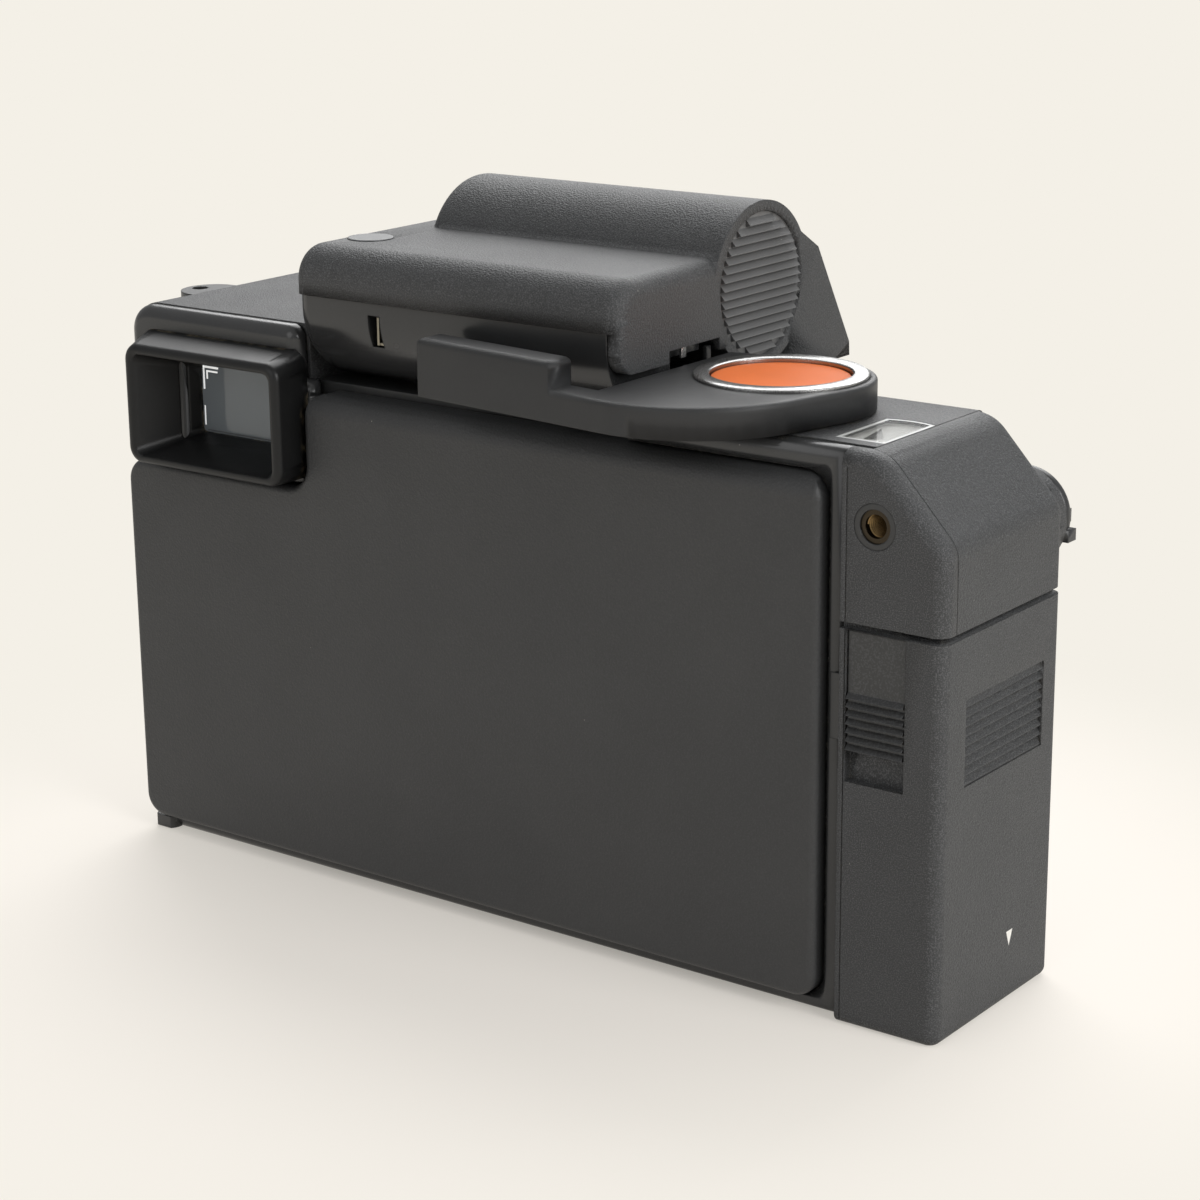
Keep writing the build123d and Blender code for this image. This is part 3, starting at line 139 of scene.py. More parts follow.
def makeFloor():
    shape = bmesh.new()
    bmesh.ops.create_grid(shape, x_segments=1, y_segments=1, size=studio["floorSize"] / 2)
    mesh = bpy.data.meshes.new("floor")
    shape.to_mesh(mesh)
    shape.free()
    floor = addObject("floor", mesh)
    mat = bpy.data.materials.new("floorPaper")
    mat.use_nodes = True
    tree = mat.node_tree
    tree.nodes.remove(tree.nodes["Principled BSDF"])
    coords = addNode(tree, "TexCoord").outputs["Object"]
    reach = addNode(tree, "VectorMath", dict(operation="LENGTH"), {0: coords}).outputs["Value"]
    fade = addNode(tree, "MapRange", dict(interpolation_type="SMOOTHSTEP"),
                   {"Value": reach, "From Min": studio["fadeFrom"], "From Max": studio["fadeTo"],
                    "To Min": studio["fadeLeast"]}).outputs["Result"]
    share = addNode(tree, "Math", dict(operation="MULTIPLY"), {0: fade, 1: seenRays(tree)}).outputs[0]
    paper = addNode(tree, "BsdfDiffuse", None, {"Color": (*studio["floorColour"], 1)})
    glow = addNode(tree, "Emission", None, {"Color": (*studio["background"], 1), "Strength": 1.0})
    mix = addNode(tree, "MixShader", None, {0: share, 1: paper.outputs[0], 2: glow.outputs[0]})
    tree.links.new(mix.outputs[0], tree.nodes["Material Output"].inputs["Surface"])
    mesh.materials.append(mat)


makeWorld()
makeLamps()
makeFloor()
bpy.context.scene.view_settings.view_transform = "Standard"
print("studio set")


# Finishes
def newMaterial(name):
    mat = bpy.data.materials.new(name)
    mat.use_nodes = True
    tree = mat.node_tree
    coords = addNode(tree, "TexCoord").outputs["Object"]
    return mat, tree, tree.nodes["Principled BSDF"], coords


def noise(tree, coords, size, detail=2.0, rough=0.55):  # size of one grain in mm
    return addNode(tree, "TexNoise", None, {"Vector": coords, "Scale": 1 / (size * mm), "Detail": detail,
                                            "Roughness": rough}).outputs["Fac"]


def mapRange(tree, value, band, low=0.0, high=1.0):  # low where value meets the band's start, high at its end
    return addNode(tree, "MapRange", None, {"Value": value, "From Min": band[0], "From Max": band[1],
                                            "To Min": low, "To Max": high}).outputs["Result"]


def blendColours(tree, share, first, second):
    node = addNode(tree, "Mix", dict(data_type="RGBA"))
    for place, value in ((0, share), (6, first), (7, second)):
        if hasattr(value, "is_output"):
            tree.links.new(value, node.inputs[place])
        else:
            node.inputs[place].default_value = value
    return node.outputs[2]


def multiply(tree, first, second):
    return addNode(tree, "Math", dict(operation="MULTIPLY"), {0: first, 1: second}).outputs[0]


def shade(colour, factor):
    return tuple(min(1.0, channel * factor) for channel in colour) + (1,)


# How plastic ages, with painted shade in hollows and painted glints: lengths in mm, bands are the part of a pattern
# that shows, tints are factors on the own colour
ageingAndPaintedLight = dict(grainDetail=3.0, cloud=9.0, cloudBand=(0.35, 0.7), cloudShare=0.35, cloudTint=0.72,
              wear=0.25, wearBand=(0.98, 0.80), wearTint=2.6,
              dust=0.08, dustColour=(0.55, 0.53, 0.48), fineCell=2.3, fineWidth=0.075, largeCell=9.0, largeWidth=0.17,
              speckCore=0.6, lyingBand=(-0.1, 0.7), lyingLeast=0.25,
              paintedShadeReach=2.2, paintedShadeBand=(0.25, 0.9), paintedShadeKeep=0.55, paintedShadeColour=(0.002, 0.002, 0.002),
              paintedGlintGrain=0.8, paintedGlintBand=(0.50, 0.64), paintedGlintTint=3.4,
              creaseReach=0.9, creaseBand=(0.62, 0.30), patch=1.6, patchBand=(0.47, 0.62), dirt=(0.15, 0.135, 0.105),
              smearPatch=21.0, smearBand=(0.3, 0.72), smearUp=0.6, pebble=1.5, shine=0.5)
# How metal is turned and tarnishes
turning = dict(edge=0.08, strength=0.25, depth=0.01, patch=6.0, tarnish=0.3, darkTint=0.82, lightTint=1.08,
               stainTint=0.6, roughBand=(0.3, 0.7), roughLeast=0.75, roughMost=1.3)
# The faint film on glass
filming = dict(patch=8.0, darkTint=0.9, roughBand=(0.3, 0.8), roughMore=0.05, index=1.49)


def edges(tree, radius):  # rounded normal for small edges, and a mask that is 1 on them
    rounded = addNode(tree, "Bevel", dict(samples=4), {"Radius": radius * mm}).outputs["Normal"]
    flat = addNode(tree, "NewGeometry").outputs["Normal"]
    along = addNode(tree, "VectorMath", dict(operation="DOT_PRODUCT"), {0: rounded, 1: flat}).outputs["Value"]
    return rounded, mapRange(tree, along, ageingAndPaintedLight["wearBand"])


def specks(tree, coords, cell, share, width):  # sparse dots: cell and width in mm, share of cells that hold one
    cells = addNode(tree, "TexVoronoi", None, {"Vector": coords, "Scale": 1 / (cell * mm)})
    dot = mapRange(tree, cells.outputs["Distance"], (width / cell, width / cell * ageingAndPaintedLight["speckCore"]))
    picked = addNode(tree, "SeparateColor", None, {"Color": cells.outputs["Color"]}).outputs[0]
    chosen = addNode(tree, "Math", dict(operation="LESS_THAN"), {0: picked, 1: share}).outputs[0]
    return multiply(tree, dot, chosen)


def openness(tree, reach):  # 1 on open faces, near 0 deep in a groove: reach in mm
    return addNode(tree, "AmbientOcclusion", dict(samples=4), {"Distance": reach * mm}).outputs["AO"]


def crevices(tree, coords):  # patchy dust where faces meet
    deep = mapRange(tree, openness(tree, ageingAndPaintedLight["creaseReach"]), ageingAndPaintedLight["creaseBand"])
    patch = mapRange(tree, noise(tree, coords, ageingAndPaintedLight["patch"], 5.0, 0.7), ageingAndPaintedLight["patchBand"])
    return multiply(tree, deep, patch)


def agedColourWithPaintedLight(tree, coords, look, grain, worn):
    colour = look["colour"]
    base = blendColours(tree, grain, shade(colour, 1 - look["mottle"]), shade(colour, 1 + look["mottle"]))
    broad = mapRange(tree, noise(tree, coords, ageingAndPaintedLight["cloud"], ageingAndPaintedLight["grainDetail"]), ageingAndPaintedLight["cloudBand"])
    base = blendColours(tree, multiply(tree, broad, ageingAndPaintedLight["cloudShare"]), base, shade(colour, ageingAndPaintedLight["cloudTint"]))
    wear = multiply(tree, worn, look.get("wear", ageingAndPaintedLight["wear"]))
    base = blendColours(tree, wear, base, shade(colour, ageingAndPaintedLight["wearTint"]))
    up = addNode(tree, "SeparateXYZ", None, {"Vector": addNode(tree, "NewGeometry").outputs["Normal"]}).outputs["Z"]
    lying = mapRange(tree, up, ageingAndPaintedLight["lyingBand"], ageingAndPaintedLight["lyingLeast"])
    share = look.get("dust", ageingAndPaintedLight["dust"])
    fine = specks(tree, coords, ageingAndPaintedLight["fineCell"], share, ageingAndPaintedLight["fineWidth"])
    large = specks(tree, coords, ageingAndPaintedLight["largeCell"], share, ageingAndPaintedLight["largeWidth"])
    dust = addNode(tree, "Math", dict(operation="MAXIMUM"), {0: fine, 1: large}).outputs[0]
    base = blendColours(tree, multiply(tree, dust, lying), base, (*ageingAndPaintedLight["dustColour"], 1))
    # painted shade: the colour darkens toward near black in hollows and where parts meet, where shade falls
    paintedShadeShare = mapRange(tree, openness(tree, ageingAndPaintedLight["paintedShadeReach"]), ageingAndPaintedLight["paintedShadeBand"], ageingAndPaintedLight["paintedShadeKeep"])
    base = blendColours(tree, paintedShadeShare, (*ageingAndPaintedLight["paintedShadeColour"], 1), base)
    # painted highlights: fine specks of the colour are lightened to stand in for glints
    if "paintedGlint" in look:
        points = noise(tree, coords, look["grain"] * ageingAndPaintedLight["paintedGlintGrain"], 1.0)
        paintedGlintShare = mapRange(tree, points, ageingAndPaintedLight["paintedGlintBand"], 0.0, look["paintedGlint"])
        base = blendColours(tree, paintedGlintShare, base, shade(colour, ageingAndPaintedLight["paintedGlintTint"]))
    if "crease" in look:
        dirt = multiply(tree, crevices(tree, coords), look["crease"])
        base = blendColours(tree, dirt, base, (*look.get("dirt", ageingAndPaintedLight["dirt"]), 1))
    return base


def moulded(name, look):
    mat, tree, shader, coords = newMaterial(name)
    grain = noise(tree, coords, look["grain"], ageingAndPaintedLight["grainDetail"])
    rounded, worn = edges(tree, look["edge"])
    tree.links.new(agedColourWithPaintedLight(tree, coords, look, grain, worn), shader.inputs["Base Color"])
    rough, smear = look["rough"], look["smear"]
    smeared = mapRange(tree, noise(tree, coords, ageingAndPaintedLight["smearPatch"], 4.0, 0.6), ageingAndPaintedLight["smearBand"],
                       rough - smear, rough + smear * ageingAndPaintedLight["smearUp"])
    tree.links.new(smeared, shader.inputs["Roughness"])
    shader.inputs["Specular IOR Level"].default_value = look.get("shine", ageingAndPaintedLight["shine"])
    # painted light: a finish with glow shines in its own colour, though it is no lamp
    if "glow" in look:
        shader.inputs["Emission Color"].default_value = (*look["colour"], 1)
        shader.inputs["Emission Strength"].default_value = look["glow"]
    pebble = look["grain"] * ageingAndPaintedLight["pebble"]
    pebbles = addNode(tree, "TexVoronoi", dict(feature="SMOOTH_F1"),
                      {"Vector": coords, "Scale": 1 / (pebble * mm), "Smoothness": 0.7}).outputs["Distance"]
    height = addNode(tree, "Math", dict(operation="ADD"), {0: grain, 1: pebbles}).outputs[0]
    bump = addNode(tree, "Bump", None, {"Strength": look["relief"], "Distance": look["depth"] * mm,
                                        "Height": height, "Normal": rounded})
    tree.links.new(bump.outputs["Normal"], shader.inputs["Normal"])
    return mat


def metal(name, look):
    mat, tree, shader, coords = newMaterial(name)
    colour = look["colour"]
    fine = noise(tree, coords, look["grain"], ageingAndPaintedLight["grainDetail"])
    rounded = edges(tree, turning["edge"])[0]
    base = blendColours(tree, fine, shade(colour, turning["darkTint"]), shade(colour, turning["lightTint"]))
    patches = noise(tree, coords, turning["patch"], ageingAndPaintedLight["grainDetail"])
    tarnish = multiply(tree, patches, look.get("tarnish", turning["tarnish"]))
    base = blendColours(tree, tarnish, base, shade(look.get("stain", colour), turning["stainTint"]))
    tree.links.new(base, shader.inputs["Base Color"])
    shader.inputs["Metallic"].default_value = 1.0
    rough = mapRange(tree, fine, turning["roughBand"], look["rough"] * turning["roughLeast"],
                     look["rough"] * turning["roughMost"])
    tree.links.new(rough, shader.inputs["Roughness"])
    bump = addNode(tree, "Bump", None, {"Strength": turning["strength"], "Distance": turning["depth"] * mm,
                                        "Height": fine, "Normal": rounded})
    tree.links.new(bump.outputs["Normal"], shader.inputs["Normal"])
    return mat


def glass(name, look):
    mat, tree, shader, coords = newMaterial(name)
    film = noise(tree, coords, filming["patch"], ageingAndPaintedLight["grainDetail"])
    base = blendColours(tree, film, shade(look["colour"], filming["darkTint"]), shade(look["colour"], 1.0))
    tree.links.new(base, shader.inputs["Base Color"])
    rough = mapRange(tree, film, filming["roughBand"], look["rough"], look["rough"] + filming["roughMore"])
    tree.links.new(rough, shader.inputs["Roughness"])
    shader.inputs["Transmission Weight"].default_value = look.get("clear", 1.0)
    shader.inputs["IOR"].default_value = look.get("ior", filming["index"])
    if "coat" in look:
        shader.inputs["Specular Tint"].default_value = (*look["coat"], 1)
    return mat


# Colour, grain in mm and wear of each finish; paintedGlint lightens fine specks as painted highlights, glow makes a
# finish shine with painted light
printed = dict(grain=0.25, relief=0.1, depth=0.01, smear=0.04, edge=0.03, wear=0.0, dust=0.0)
finishes = {
    "grainedCover": (moulded, dict(colour=(0.040, 0.041, 0.042), grain=0.17, relief=0.80, depth=0.085, mottle=0.45,
                                   rough=0.55, smear=0.05, shine=0.32, paintedGlint=0.50, edge=0.28, dust=0.07,
                                   crease=0.3)),
    "doorPanel": (moulded, dict(colour=(0.0290, 0.0298, 0.0305), grain=0.20, relief=0.60, depth=0.06, mottle=0.16,
                                rough=0.52, smear=0.06, paintedGlint=0.10, edge=0.30, dust=0.05)),
    "smoothBlack": (moulded, dict(colour=(0.0255, 0.0262, 0.0268), grain=0.35, relief=0.16, depth=0.03, mottle=0.10,
                                  rough=0.38, smear=0.08, edge=0.30, dust=0.05, crease=0.25)),
    "gripRibs": (moulded, dict(colour=(0.118, 0.119, 0.119), grain=0.3, relief=0.2, depth=0.03, mottle=0.10,
                               rough=0.42, smear=0.06, edge=0.10, dust=0.04)),
    "hoodBlack": (moulded, dict(colour=(0.0088, 0.0090, 0.0092), grain=0.40, relief=0.14, depth=0.03, mottle=0.10,
                                rough=0.42, smear=0.07, shine=0.30, edge=0.25, dust=0.10, crease=1.0,
                                dirt=(0.30, 0.25, 0.165))),
    "glossRim": (moulded, dict(colour=(0.0340, 0.0347, 0.0354), grain=0.45, relief=0.08, depth=0.02, mottle=0.10,
                               rough=0.24, smear=0.08, edge=0.22, dust=0.10, crease=0.25)),
    "underGloss": (moulded, dict(colour=(0.0250, 0.0256, 0.0262), grain=0.45, relief=0.06, depth=0.02, mottle=0.10,
                                 rough=0.24, smear=0.09, edge=0.25, dust=0.10, crease=0.2)),
    "leverBlack": (moulded, dict(colour=(0.0262, 0.0268, 0.0275), grain=0.35, relief=0.14, depth=0.03, mottle=0.10,
                                 rough=0.46, smear=0.06, shine=0.34, edge=0.60, dust=0.06, wear=0.12,
                                 crease=0.2)),
    "wornBlack": (moulded, dict(colour=(0.0255, 0.0262, 0.0268), grain=0.28, relief=0.35, depth=0.04, mottle=0.20,
                                rough=0.38, smear=0.08, edge=0.14, dust=0.08, wear=0.85, paintedGlint=0.3, crease=0.2)),
    "filmPath": (moulded, dict(colour=(0.016, 0.016, 0.016), grain=0.25, relief=0.3, depth=0.04, mottle=0.15,
                               rough=0.62, smear=0.05, edge=0.15, dust=0.02)),
    "releaseOrange": (moulded, dict(colour=(0.74, 0.172, 0.042), grain=0.25, relief=0.16, depth=0.02, mottle=0.05,
                                    rough=0.52, smear=0.08, shine=0.08, edge=0.12, wear=0.0, dust=0.03)),
    "lampCover": (moulded, dict(colour=(0.068, 0.070, 0.071), grain=0.3, relief=0.02, depth=0.01, mottle=0.06,
                                rough=0.42, smear=0.05, edge=0.15, wear=0.1)),
    "dialWhite": (moulded, dict(colour=(0.62, 0.63, 0.60), grain=0.3, relief=0.05, depth=0.02, mottle=0.04,
                                rough=0.45, smear=0.04, edge=0.08, wear=0.0)),
    "sealFoam": (moulded, dict(colour=(0.020, 0.020, 0.020), grain=0.35, relief=0.9, depth=0.22, mottle=0.4,
                               rough=0.9, smear=0.03, edge=0.2, wear=0.0)),
    "circuitGreen": (moulded, dict(colour=(0.02, 0.13, 0.05), grain=0.6, relief=0.2, depth=0.03, mottle=0.25,
                                   rough=0.35, smear=0.06, edge=0.1, wear=0.1)),
    "brightRing": (metal, dict(colour=(0.44, 0.44, 0.435), grain=0.12, rough=0.26, tarnish=0.30)),
    "turnedBrass": (metal, dict(colour=(0.62, 0.42, 0.18), grain=0.10, rough=0.28, stain=(0.25, 0.15, 0.06))),
    "plainSteel": (metal, dict(colour=(0.56, 0.56, 0.56), grain=0.14, rough=0.27, tarnish=0.25)),
    "springSteel": (metal, dict(colour=(0.46, 0.46, 0.48), grain=0.10, rough=0.30, tarnish=0.3)),
    "cellSleeve": (metal, dict(colour=(0.50, 0.50, 0.52), grain=0.4, rough=0.32, tarnish=0.3)),
    "mirrorTrough": (metal, dict(colour=(0.88, 0.88, 0.86), grain=0.3, rough=0.12, tarnish=0.1)),
    "threadBrass": (metal, dict(colour=(0.30, 0.20, 0.09), grain=0.10, rough=0.32, stain=(0.10, 0.06, 0.03))),
    "darkBrass": (metal, dict(colour=(0.060, 0.048, 0.034), grain=0.12, rough=0.35, tarnish=0.5)),
    "clearWindow": (glass, dict(colour=(0.92, 0.95, 0.96), rough=0.02)),
    "paleWindow": (glass, dict(colour=(0.86, 0.87, 0.86), rough=0.06, clear=0.94, ior=1.10)),
    "coatedGlass": (glass, dict(colour=(0.75, 0.72, 0.88), rough=0.01, coat=(0.7, 0.5, 1.0), ior=1.6)),
    # frame lines that glow with painted light
    "paintedGlowLine": (moulded, dict(colour=(0.85, 0.86, 0.85), grain=0.3, relief=0.02, depth=0.01, mottle=0.03, rough=0.4,
                              smear=0.03, edge=0.03, wear=0.0, dust=0.0, glow=0.55)),
    "printWhite": (moulded, dict(colour=(0.72, 0.71, 0.67), rough=0.5, mottle=0.08, **printed)),
    "printBlack": (moulded, dict(colour=(0.03, 0.03, 0.03), rough=0.5, mottle=0.08, **printed)),
    "groundEdge": (moulded, dict(colour=(0.47, 0.475, 0.465), rough=0.4, mottle=0.08, **printed)),
    "indexPale": (moulded, dict(colour=(0.68, 0.685, 0.68), rough=0.5, mottle=0.06, **printed)),
    "wornLeaf": (metal, dict(colour=(0.36, 0.33, 0.26), grain=0.25, rough=0.35, tarnish=0.8)),
    "finderGlass": (glass, dict(colour=(0.30, 0.335, 0.36), rough=0.05, clear=0.55)),
}
slotFinish = {
    "grained_cover": "grainedCover", "door_panel": "doorPanel", "smooth_black": "smoothBlack",
    "film_path": "filmPath", "foam": "sealFoam", "brass": "turnedBrass", "cell_case": "cellSleeve",
    "spring_steel": "springSteel", "steel": "plainSteel", "clear": "clearWindow", "bright_ring": "brightRing",
    "release_orange": "releaseOrange", "dial_white": "dialWhite", "mirror_trough": "mirrorTrough",
    "lamp_cover": "lampCover", "circuit": "circuitGreen", "coated_glass": "coatedGlass",
}
ownFinish = {  # pieces that differ from the rest of their slot
    "chassis": "glossRim", "eyepiece_lens": "finderGlass", "eyepiece_frame": "hoodBlack", "flash_grip": "gripRibs",
    "release_bush": "darkBrass", "counter_window": "paleWindow", "wind_lever": "leverBlack",
    "latch_slider": "wornBlack",
}
made = {name: maker(name, look) for name, (maker, look) in finishes.items()}
slots = {part["node"]: part["material_slot"] for part in frame["record"]["subparts"]}


def finishOf(node):
    return made[ownFinish.get(node) or slotFinish[slots[node]]]


for nodeName, thing in nodes.items():
    thing.data.materials.clear()
    thing.data.materials.append(finishOf(nodeName))
print("CAD pieces dressed:", len(nodes))


roundedAngle = 32  # degrees between faces that still shade as one curve
mergeReach = 0.001  # mm between corners that are one


def newMesh(name, shape):
    mesh = bpy.data.meshes.new(name)
    shape.to_mesh(mesh)
    shape.free()
    return mesh


def smoothMesh(mesh):
    mesh.shade_smooth()
    mesh.set_sharp_from_angle(angle=radians(roundedAngle))


def newPiece(name, shape, finish, body, smooth=False):
    bmesh.ops.recalc_face_normals(shape, faces=shape.faces)
    mesh = newMesh(name, shape)
    if smooth:
        smoothMesh(mesh)
    mesh.materials.append(made[finish])
    piece = addObject(name, mesh)
    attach(piece, body)
    return piece


def addBar(shape, x0, x1, depth0, depth1, z0, z1, soft=0.0):  # a bar between two corners in mm, edges softened
    middle = spot((x0 + x1) / 2, (depth0 + depth1) / 2, (z0 + z1) / 2)
    size = Matrix.Diagonal((abs(x1 - x0) * mm, abs(depth1 - depth0) * mm, abs(z1 - z0) * mm, 1))
    corners = bmesh.ops.create_cube(shape, size=1.0, matrix=Matrix.Translation(middle) @ size)["verts"]
    if soft:
        rims = list({edge for corner in corners for edge in corner.link_edges})
        bmesh.ops.bevel(shape, geom=rims, offset=soft * mm, segments=2, profile=0.5, affect="EDGES", material=-1)


def raiseFaces(shape, faces, lift):
    raised = bmesh.ops.extrude_face_region(shape, geom=faces)["geom"]
    bmesh.ops.translate(shape, verts=[part for part in raised if isinstance(part, bmesh.types.BMVert)], vec=lift)


def addPlate(shape, points, thick):  # a flat outline, raised by thick along its own normal
    face = shape.faces.new([shape.verts.new(point) for point in points])
    face.normal_update()
    raiseFaces(shape, [face], face.normal * thick * mm)


def lathe(shape, profile, middle, axis, steps):  # profile in mm: distance from the axis, distance along it
    axis = Vector(axis)
    side = Vector((0, 0, 1)) if abs(axis.z) < 0.5 else Vector((1, 0, 0))
    verts = [shape.verts.new(middle + (side * out + axis * along) * mm) for out, along in profile]
    rim = [shape.edges.new(pair) for pair in zip(verts, verts[1:])]
    bmesh.ops.spin(shape, geom=verts + rim, cent=middle, axis=axis, dvec=(0, 0, 0), angle=2 * pi, steps=steps,
                   use_merge=True, use_duplicate=False)
    bmesh.ops.remove_doubles(shape, verts=shape.verts, dist=0.002 * mm)


def figure(name, words, size, thick, place, finish, body):  # a printed figure: place sets it on its face
    curve = bpy.data.curves.new(name, "FONT")
    curve.body = words
    curve.size = size * mm
    curve.align_x = "CENTER"
    curve.align_y = "CENTER"
    curve.extrude = thick * mm
    flat = bpy.data.objects.new(name, curve)
    mesh = bpy.data.meshes.new_from_object(flat)
    bpy.data.objects.remove(flat)
    mesh.transform(place)
    mesh.materials.clear()
    mesh.materials.append(made[finish])
    piece = addObject(name, mesh)
    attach(piece, body)


# The release disc, dished for the finger: rings are shares of its radius
disc = dict(x=-31.9, depth=13.5, radius=8.18, low=70.42, rim=71.38, chamfer=0.1, corner=0.22, cornerMiddle=0.07,
            dish=0.30, rings=(0.92, 0.8, 0.65, 0.5, 0.35, 0.2, 0.1, 0.0), steps=96)


def makeDisc():
    shape = bmesh.new()
    r, low, rim, dish = disc["radius"], disc["low"], disc["rim"], disc["dish"]
    chamfer, corner, half = disc["chamfer"], disc["corner"], disc["cornerMiddle"]
    profile = [(0, low), (r - chamfer, low), (r, low + chamfer), (r, rim - corner), (r - half, rim - half),
               (r - corner, rim)]
    profile += [(r * share, rim - dish * (1 - share ** 2)) for share in disc["rings"]]
    lathe(shape, profile, spot(disc["x"], disc["depth"], 0), (0, 0, 1), disc["steps"])
    piece = newPiece("releaseDisc", shape, "releaseOrange", "button", smooth=True)
    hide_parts("release_button")


makeDisc()
print("release disc made")


# Bright frame lines in the eyepiece, which glow with painted light: an outer corner, a finer one inside it and a
# lower stroke at each side
marks = dict(depth0=3.88, depth1=3.905, left=36.6, right=51.35, low=56.15, high=64.72, thick=0.27, fine=0.13,
             arm=2.75, drop=3.1, inset=0.6, innerArm=2.6, innerTop=0.56, innerThick=0.22, innerWide=0.24,
             innerDrop=1.7, strokeShare=0.7, strokeLow=0.7, strokeHigh=5.3, shadeGap=0.4)


def makeMarks():
    shape = bmesh.new()
    m, thick, inset = marks, marks["thick"], marks["inset"]
    near, far, low, high = m["depth0"], m["depth1"], m["low"], m["high"]
    innerTop = high - m["innerTop"]
    for edge, way in ((m["right"], -1), (m["left"], 1)):
        addBar(shape, edge, edge + way * m["arm"], near, far, high - thick, high)
        addBar(shape, edge, edge + way * thick, near, far, high - m["drop"], high)
        start = edge + way * inset
        addBar(shape, start, edge + way * m["innerArm"], near, far, innerTop - m["innerThick"], innerTop)
        addBar(shape, start, start + way * m["innerWide"], near, far, high - m["innerDrop"], high - inset)
        stroke = edge + way * thick * m["strokeShare"]
        addBar(shape, edge, stroke, near, far, low + m["strokeLow"], high - m["strokeHigh"])
    newPiece("frameLines", shape, "paintedGlowLine", "camera_body")
    shape = bmesh.new()
    addBar(shape, m["left"], m["right"] - m["shadeGap"], near, far, low, low + m["fine"])
    addBar(shape, m["left"], m["left"] + m["fine"], near, far, low, high)
    newPiece("frameShade", shape, "lampCover", "camera_body")


makeMarks()
print("finder marks made")


# Film counter: figures on the dial, and the pale plate and the ground edge of its window
counter = dict(x=-41.4, depth=11.9, top=64.81, figureRing=4.9, figures=10, first=0, step=4, size=1.9, thick=0.01)
windowEdge = dict(wide=0.50, thick=0.03, proud=0.005)
indexPlate = dict(height=66.31, thick=0.06, opening=((-46.6, 7.4), (-45.5, 13.4), (-48.5, 8.9)))


def makeCounter():
    centre = spot(counter["x"], counter["depth"], counter["top"])
    for k in range(counter["figures"]):
        turn = Matrix.Rotation(2 * pi * k / counter["figures"] + pi, 4, "Z")
        out = Matrix.Translation((counter["figureRing"] * mm, 0, 0)) @ Matrix.Rotation(-pi / 2, 4, "Z")
        figure("dialFigure%d" % k, str(counter["first"] + k * counter["step"]), counter["size"], counter["thick"],
               Matrix.Translation(centre) @ turn @ out, "printBlack", "counter")


def windowOutline():  # one face, the top of the counter's window
    shape = bmesh.new()
    shape.from_mesh(nodes["counter_window"].data)
    top = max(vert.co.z for vert in shape.verts)
    sides = [face for face in shape.faces if min(vert.co.z for vert in face.verts) < top - 0.01 * mm]
    bmesh.ops.delete(shape, geom=sides, context="FACES")
    bmesh.ops.remove_doubles(shape, verts=shape.verts, dist=mergeReach * mm)
    return shape, bmesh.ops.dissolve_faces(shape, faces=shape.faces[:])["region"]


def makeIndexPlate():  # one part of the plate outside each side of the three-cornered opening
    corners = [spot(x, depth, 0) for x, depth in indexPlate["opening"]]
    middle = sum(corners, Vector()) / 3
    planes = []
    for first, second in zip(corners, corners[1:] + corners[:1]):
        across = (second - first).cross(Vector((0, 0, 1)))
        planes.append((first, across if across.dot(middle - first) < 0 else -across))
    whole = bmesh.new()
    for k in range(len(planes)):
        shape = windowOutline()[0]
        for j, (point, outward) in enumerate(planes[:k + 1]):
            bmesh.ops.bisect_plane(shape, geom=shape.verts[:] + shape.edges[:] + shape.faces[:], dist=0.0001 * mm,
                                   plane_co=point, plane_no=outward, clear_outer=j < k, clear_inner=j == k)
        raiseFaces(shape, shape.faces[:], (0, 0, indexPlate["thick"] * mm))
        drop = indexPlate["height"] * mm - min(vert.co.z for vert in shape.verts)
        bmesh.ops.translate(shape, verts=shape.verts, vec=(0, 0, drop))
        bmesh.ops.recalc_face_normals(shape, faces=shape.faces)
        part = newMesh("platePart", shape)
        whole.from_mesh(part)
        bpy.data.meshes.remove(part)
    newPiece("indexPlate", whole, "indexPale", "camera_body")


def makeWindowEdge():  # the ground edge round the counter's window
    shape, plate = windowOutline()
    bmesh.ops.inset_region(shape, faces=plate, thickness=windowEdge["wide"] * mm, use_boundary=True,
                           use_even_offset=True)
    bmesh.ops.delete(shape, geom=plate, context="FACES")
    raiseFaces(shape, shape.faces[:], (0, 0, windowEdge["thick"] * mm))
    bmesh.ops.translate(shape, verts=shape.verts, vec=(0, 0, windowEdge["proud"] * mm))
    newPiece("windowEdge", shape, "groundEdge", "camera_body")


makeCounter()
makeIndexPlate()
makeWindowEdge()
print("counter made")


# Small metal parts in the flash's slots: the leaf has a bent foot
slotLeaf = dict(x=18.45, depth=1.25, low=71.35, high=74.85, thick=0.38, deep=1.7, soft=0.07,
                footStart=-0.6, footEnd=0.1, footNear=0.15, footFar=0.9, footThick=0.35)
cheekTab = dict(x=-18.25, depth=13.1, low=71.95, high=73.32, thick=0.4, deep=0.95, soft=0.1)


def addLeaf(shape, leaf):
    x, near = leaf["x"], leaf["depth"]
    addBar(shape, x, x + leaf["thick"], near, near + leaf["deep"], leaf["low"], leaf["high"], leaf["soft"])


def makeSlotParts():
    shape = bmesh.new()
    addLeaf(shape, slotLeaf)
    x, near, low = slotLeaf["x"], slotLeaf["depth"], slotLeaf["low"]
    addBar(shape, x + slotLeaf["footStart"], x + slotLeaf["footEnd"], near + slotLeaf["footNear"],
           near + slotLeaf["footFar"], low, low + slotLeaf["footThick"], slotLeaf["soft"])
    newPiece("slotLeaf", shape, "wornLeaf", "flash")
    shape = bmesh.new()
    addLeaf(shape, cheekTab)
    newPiece("cheekTab", shape, "plainSteel", "flash")


makeSlotParts()
print("slot parts made")


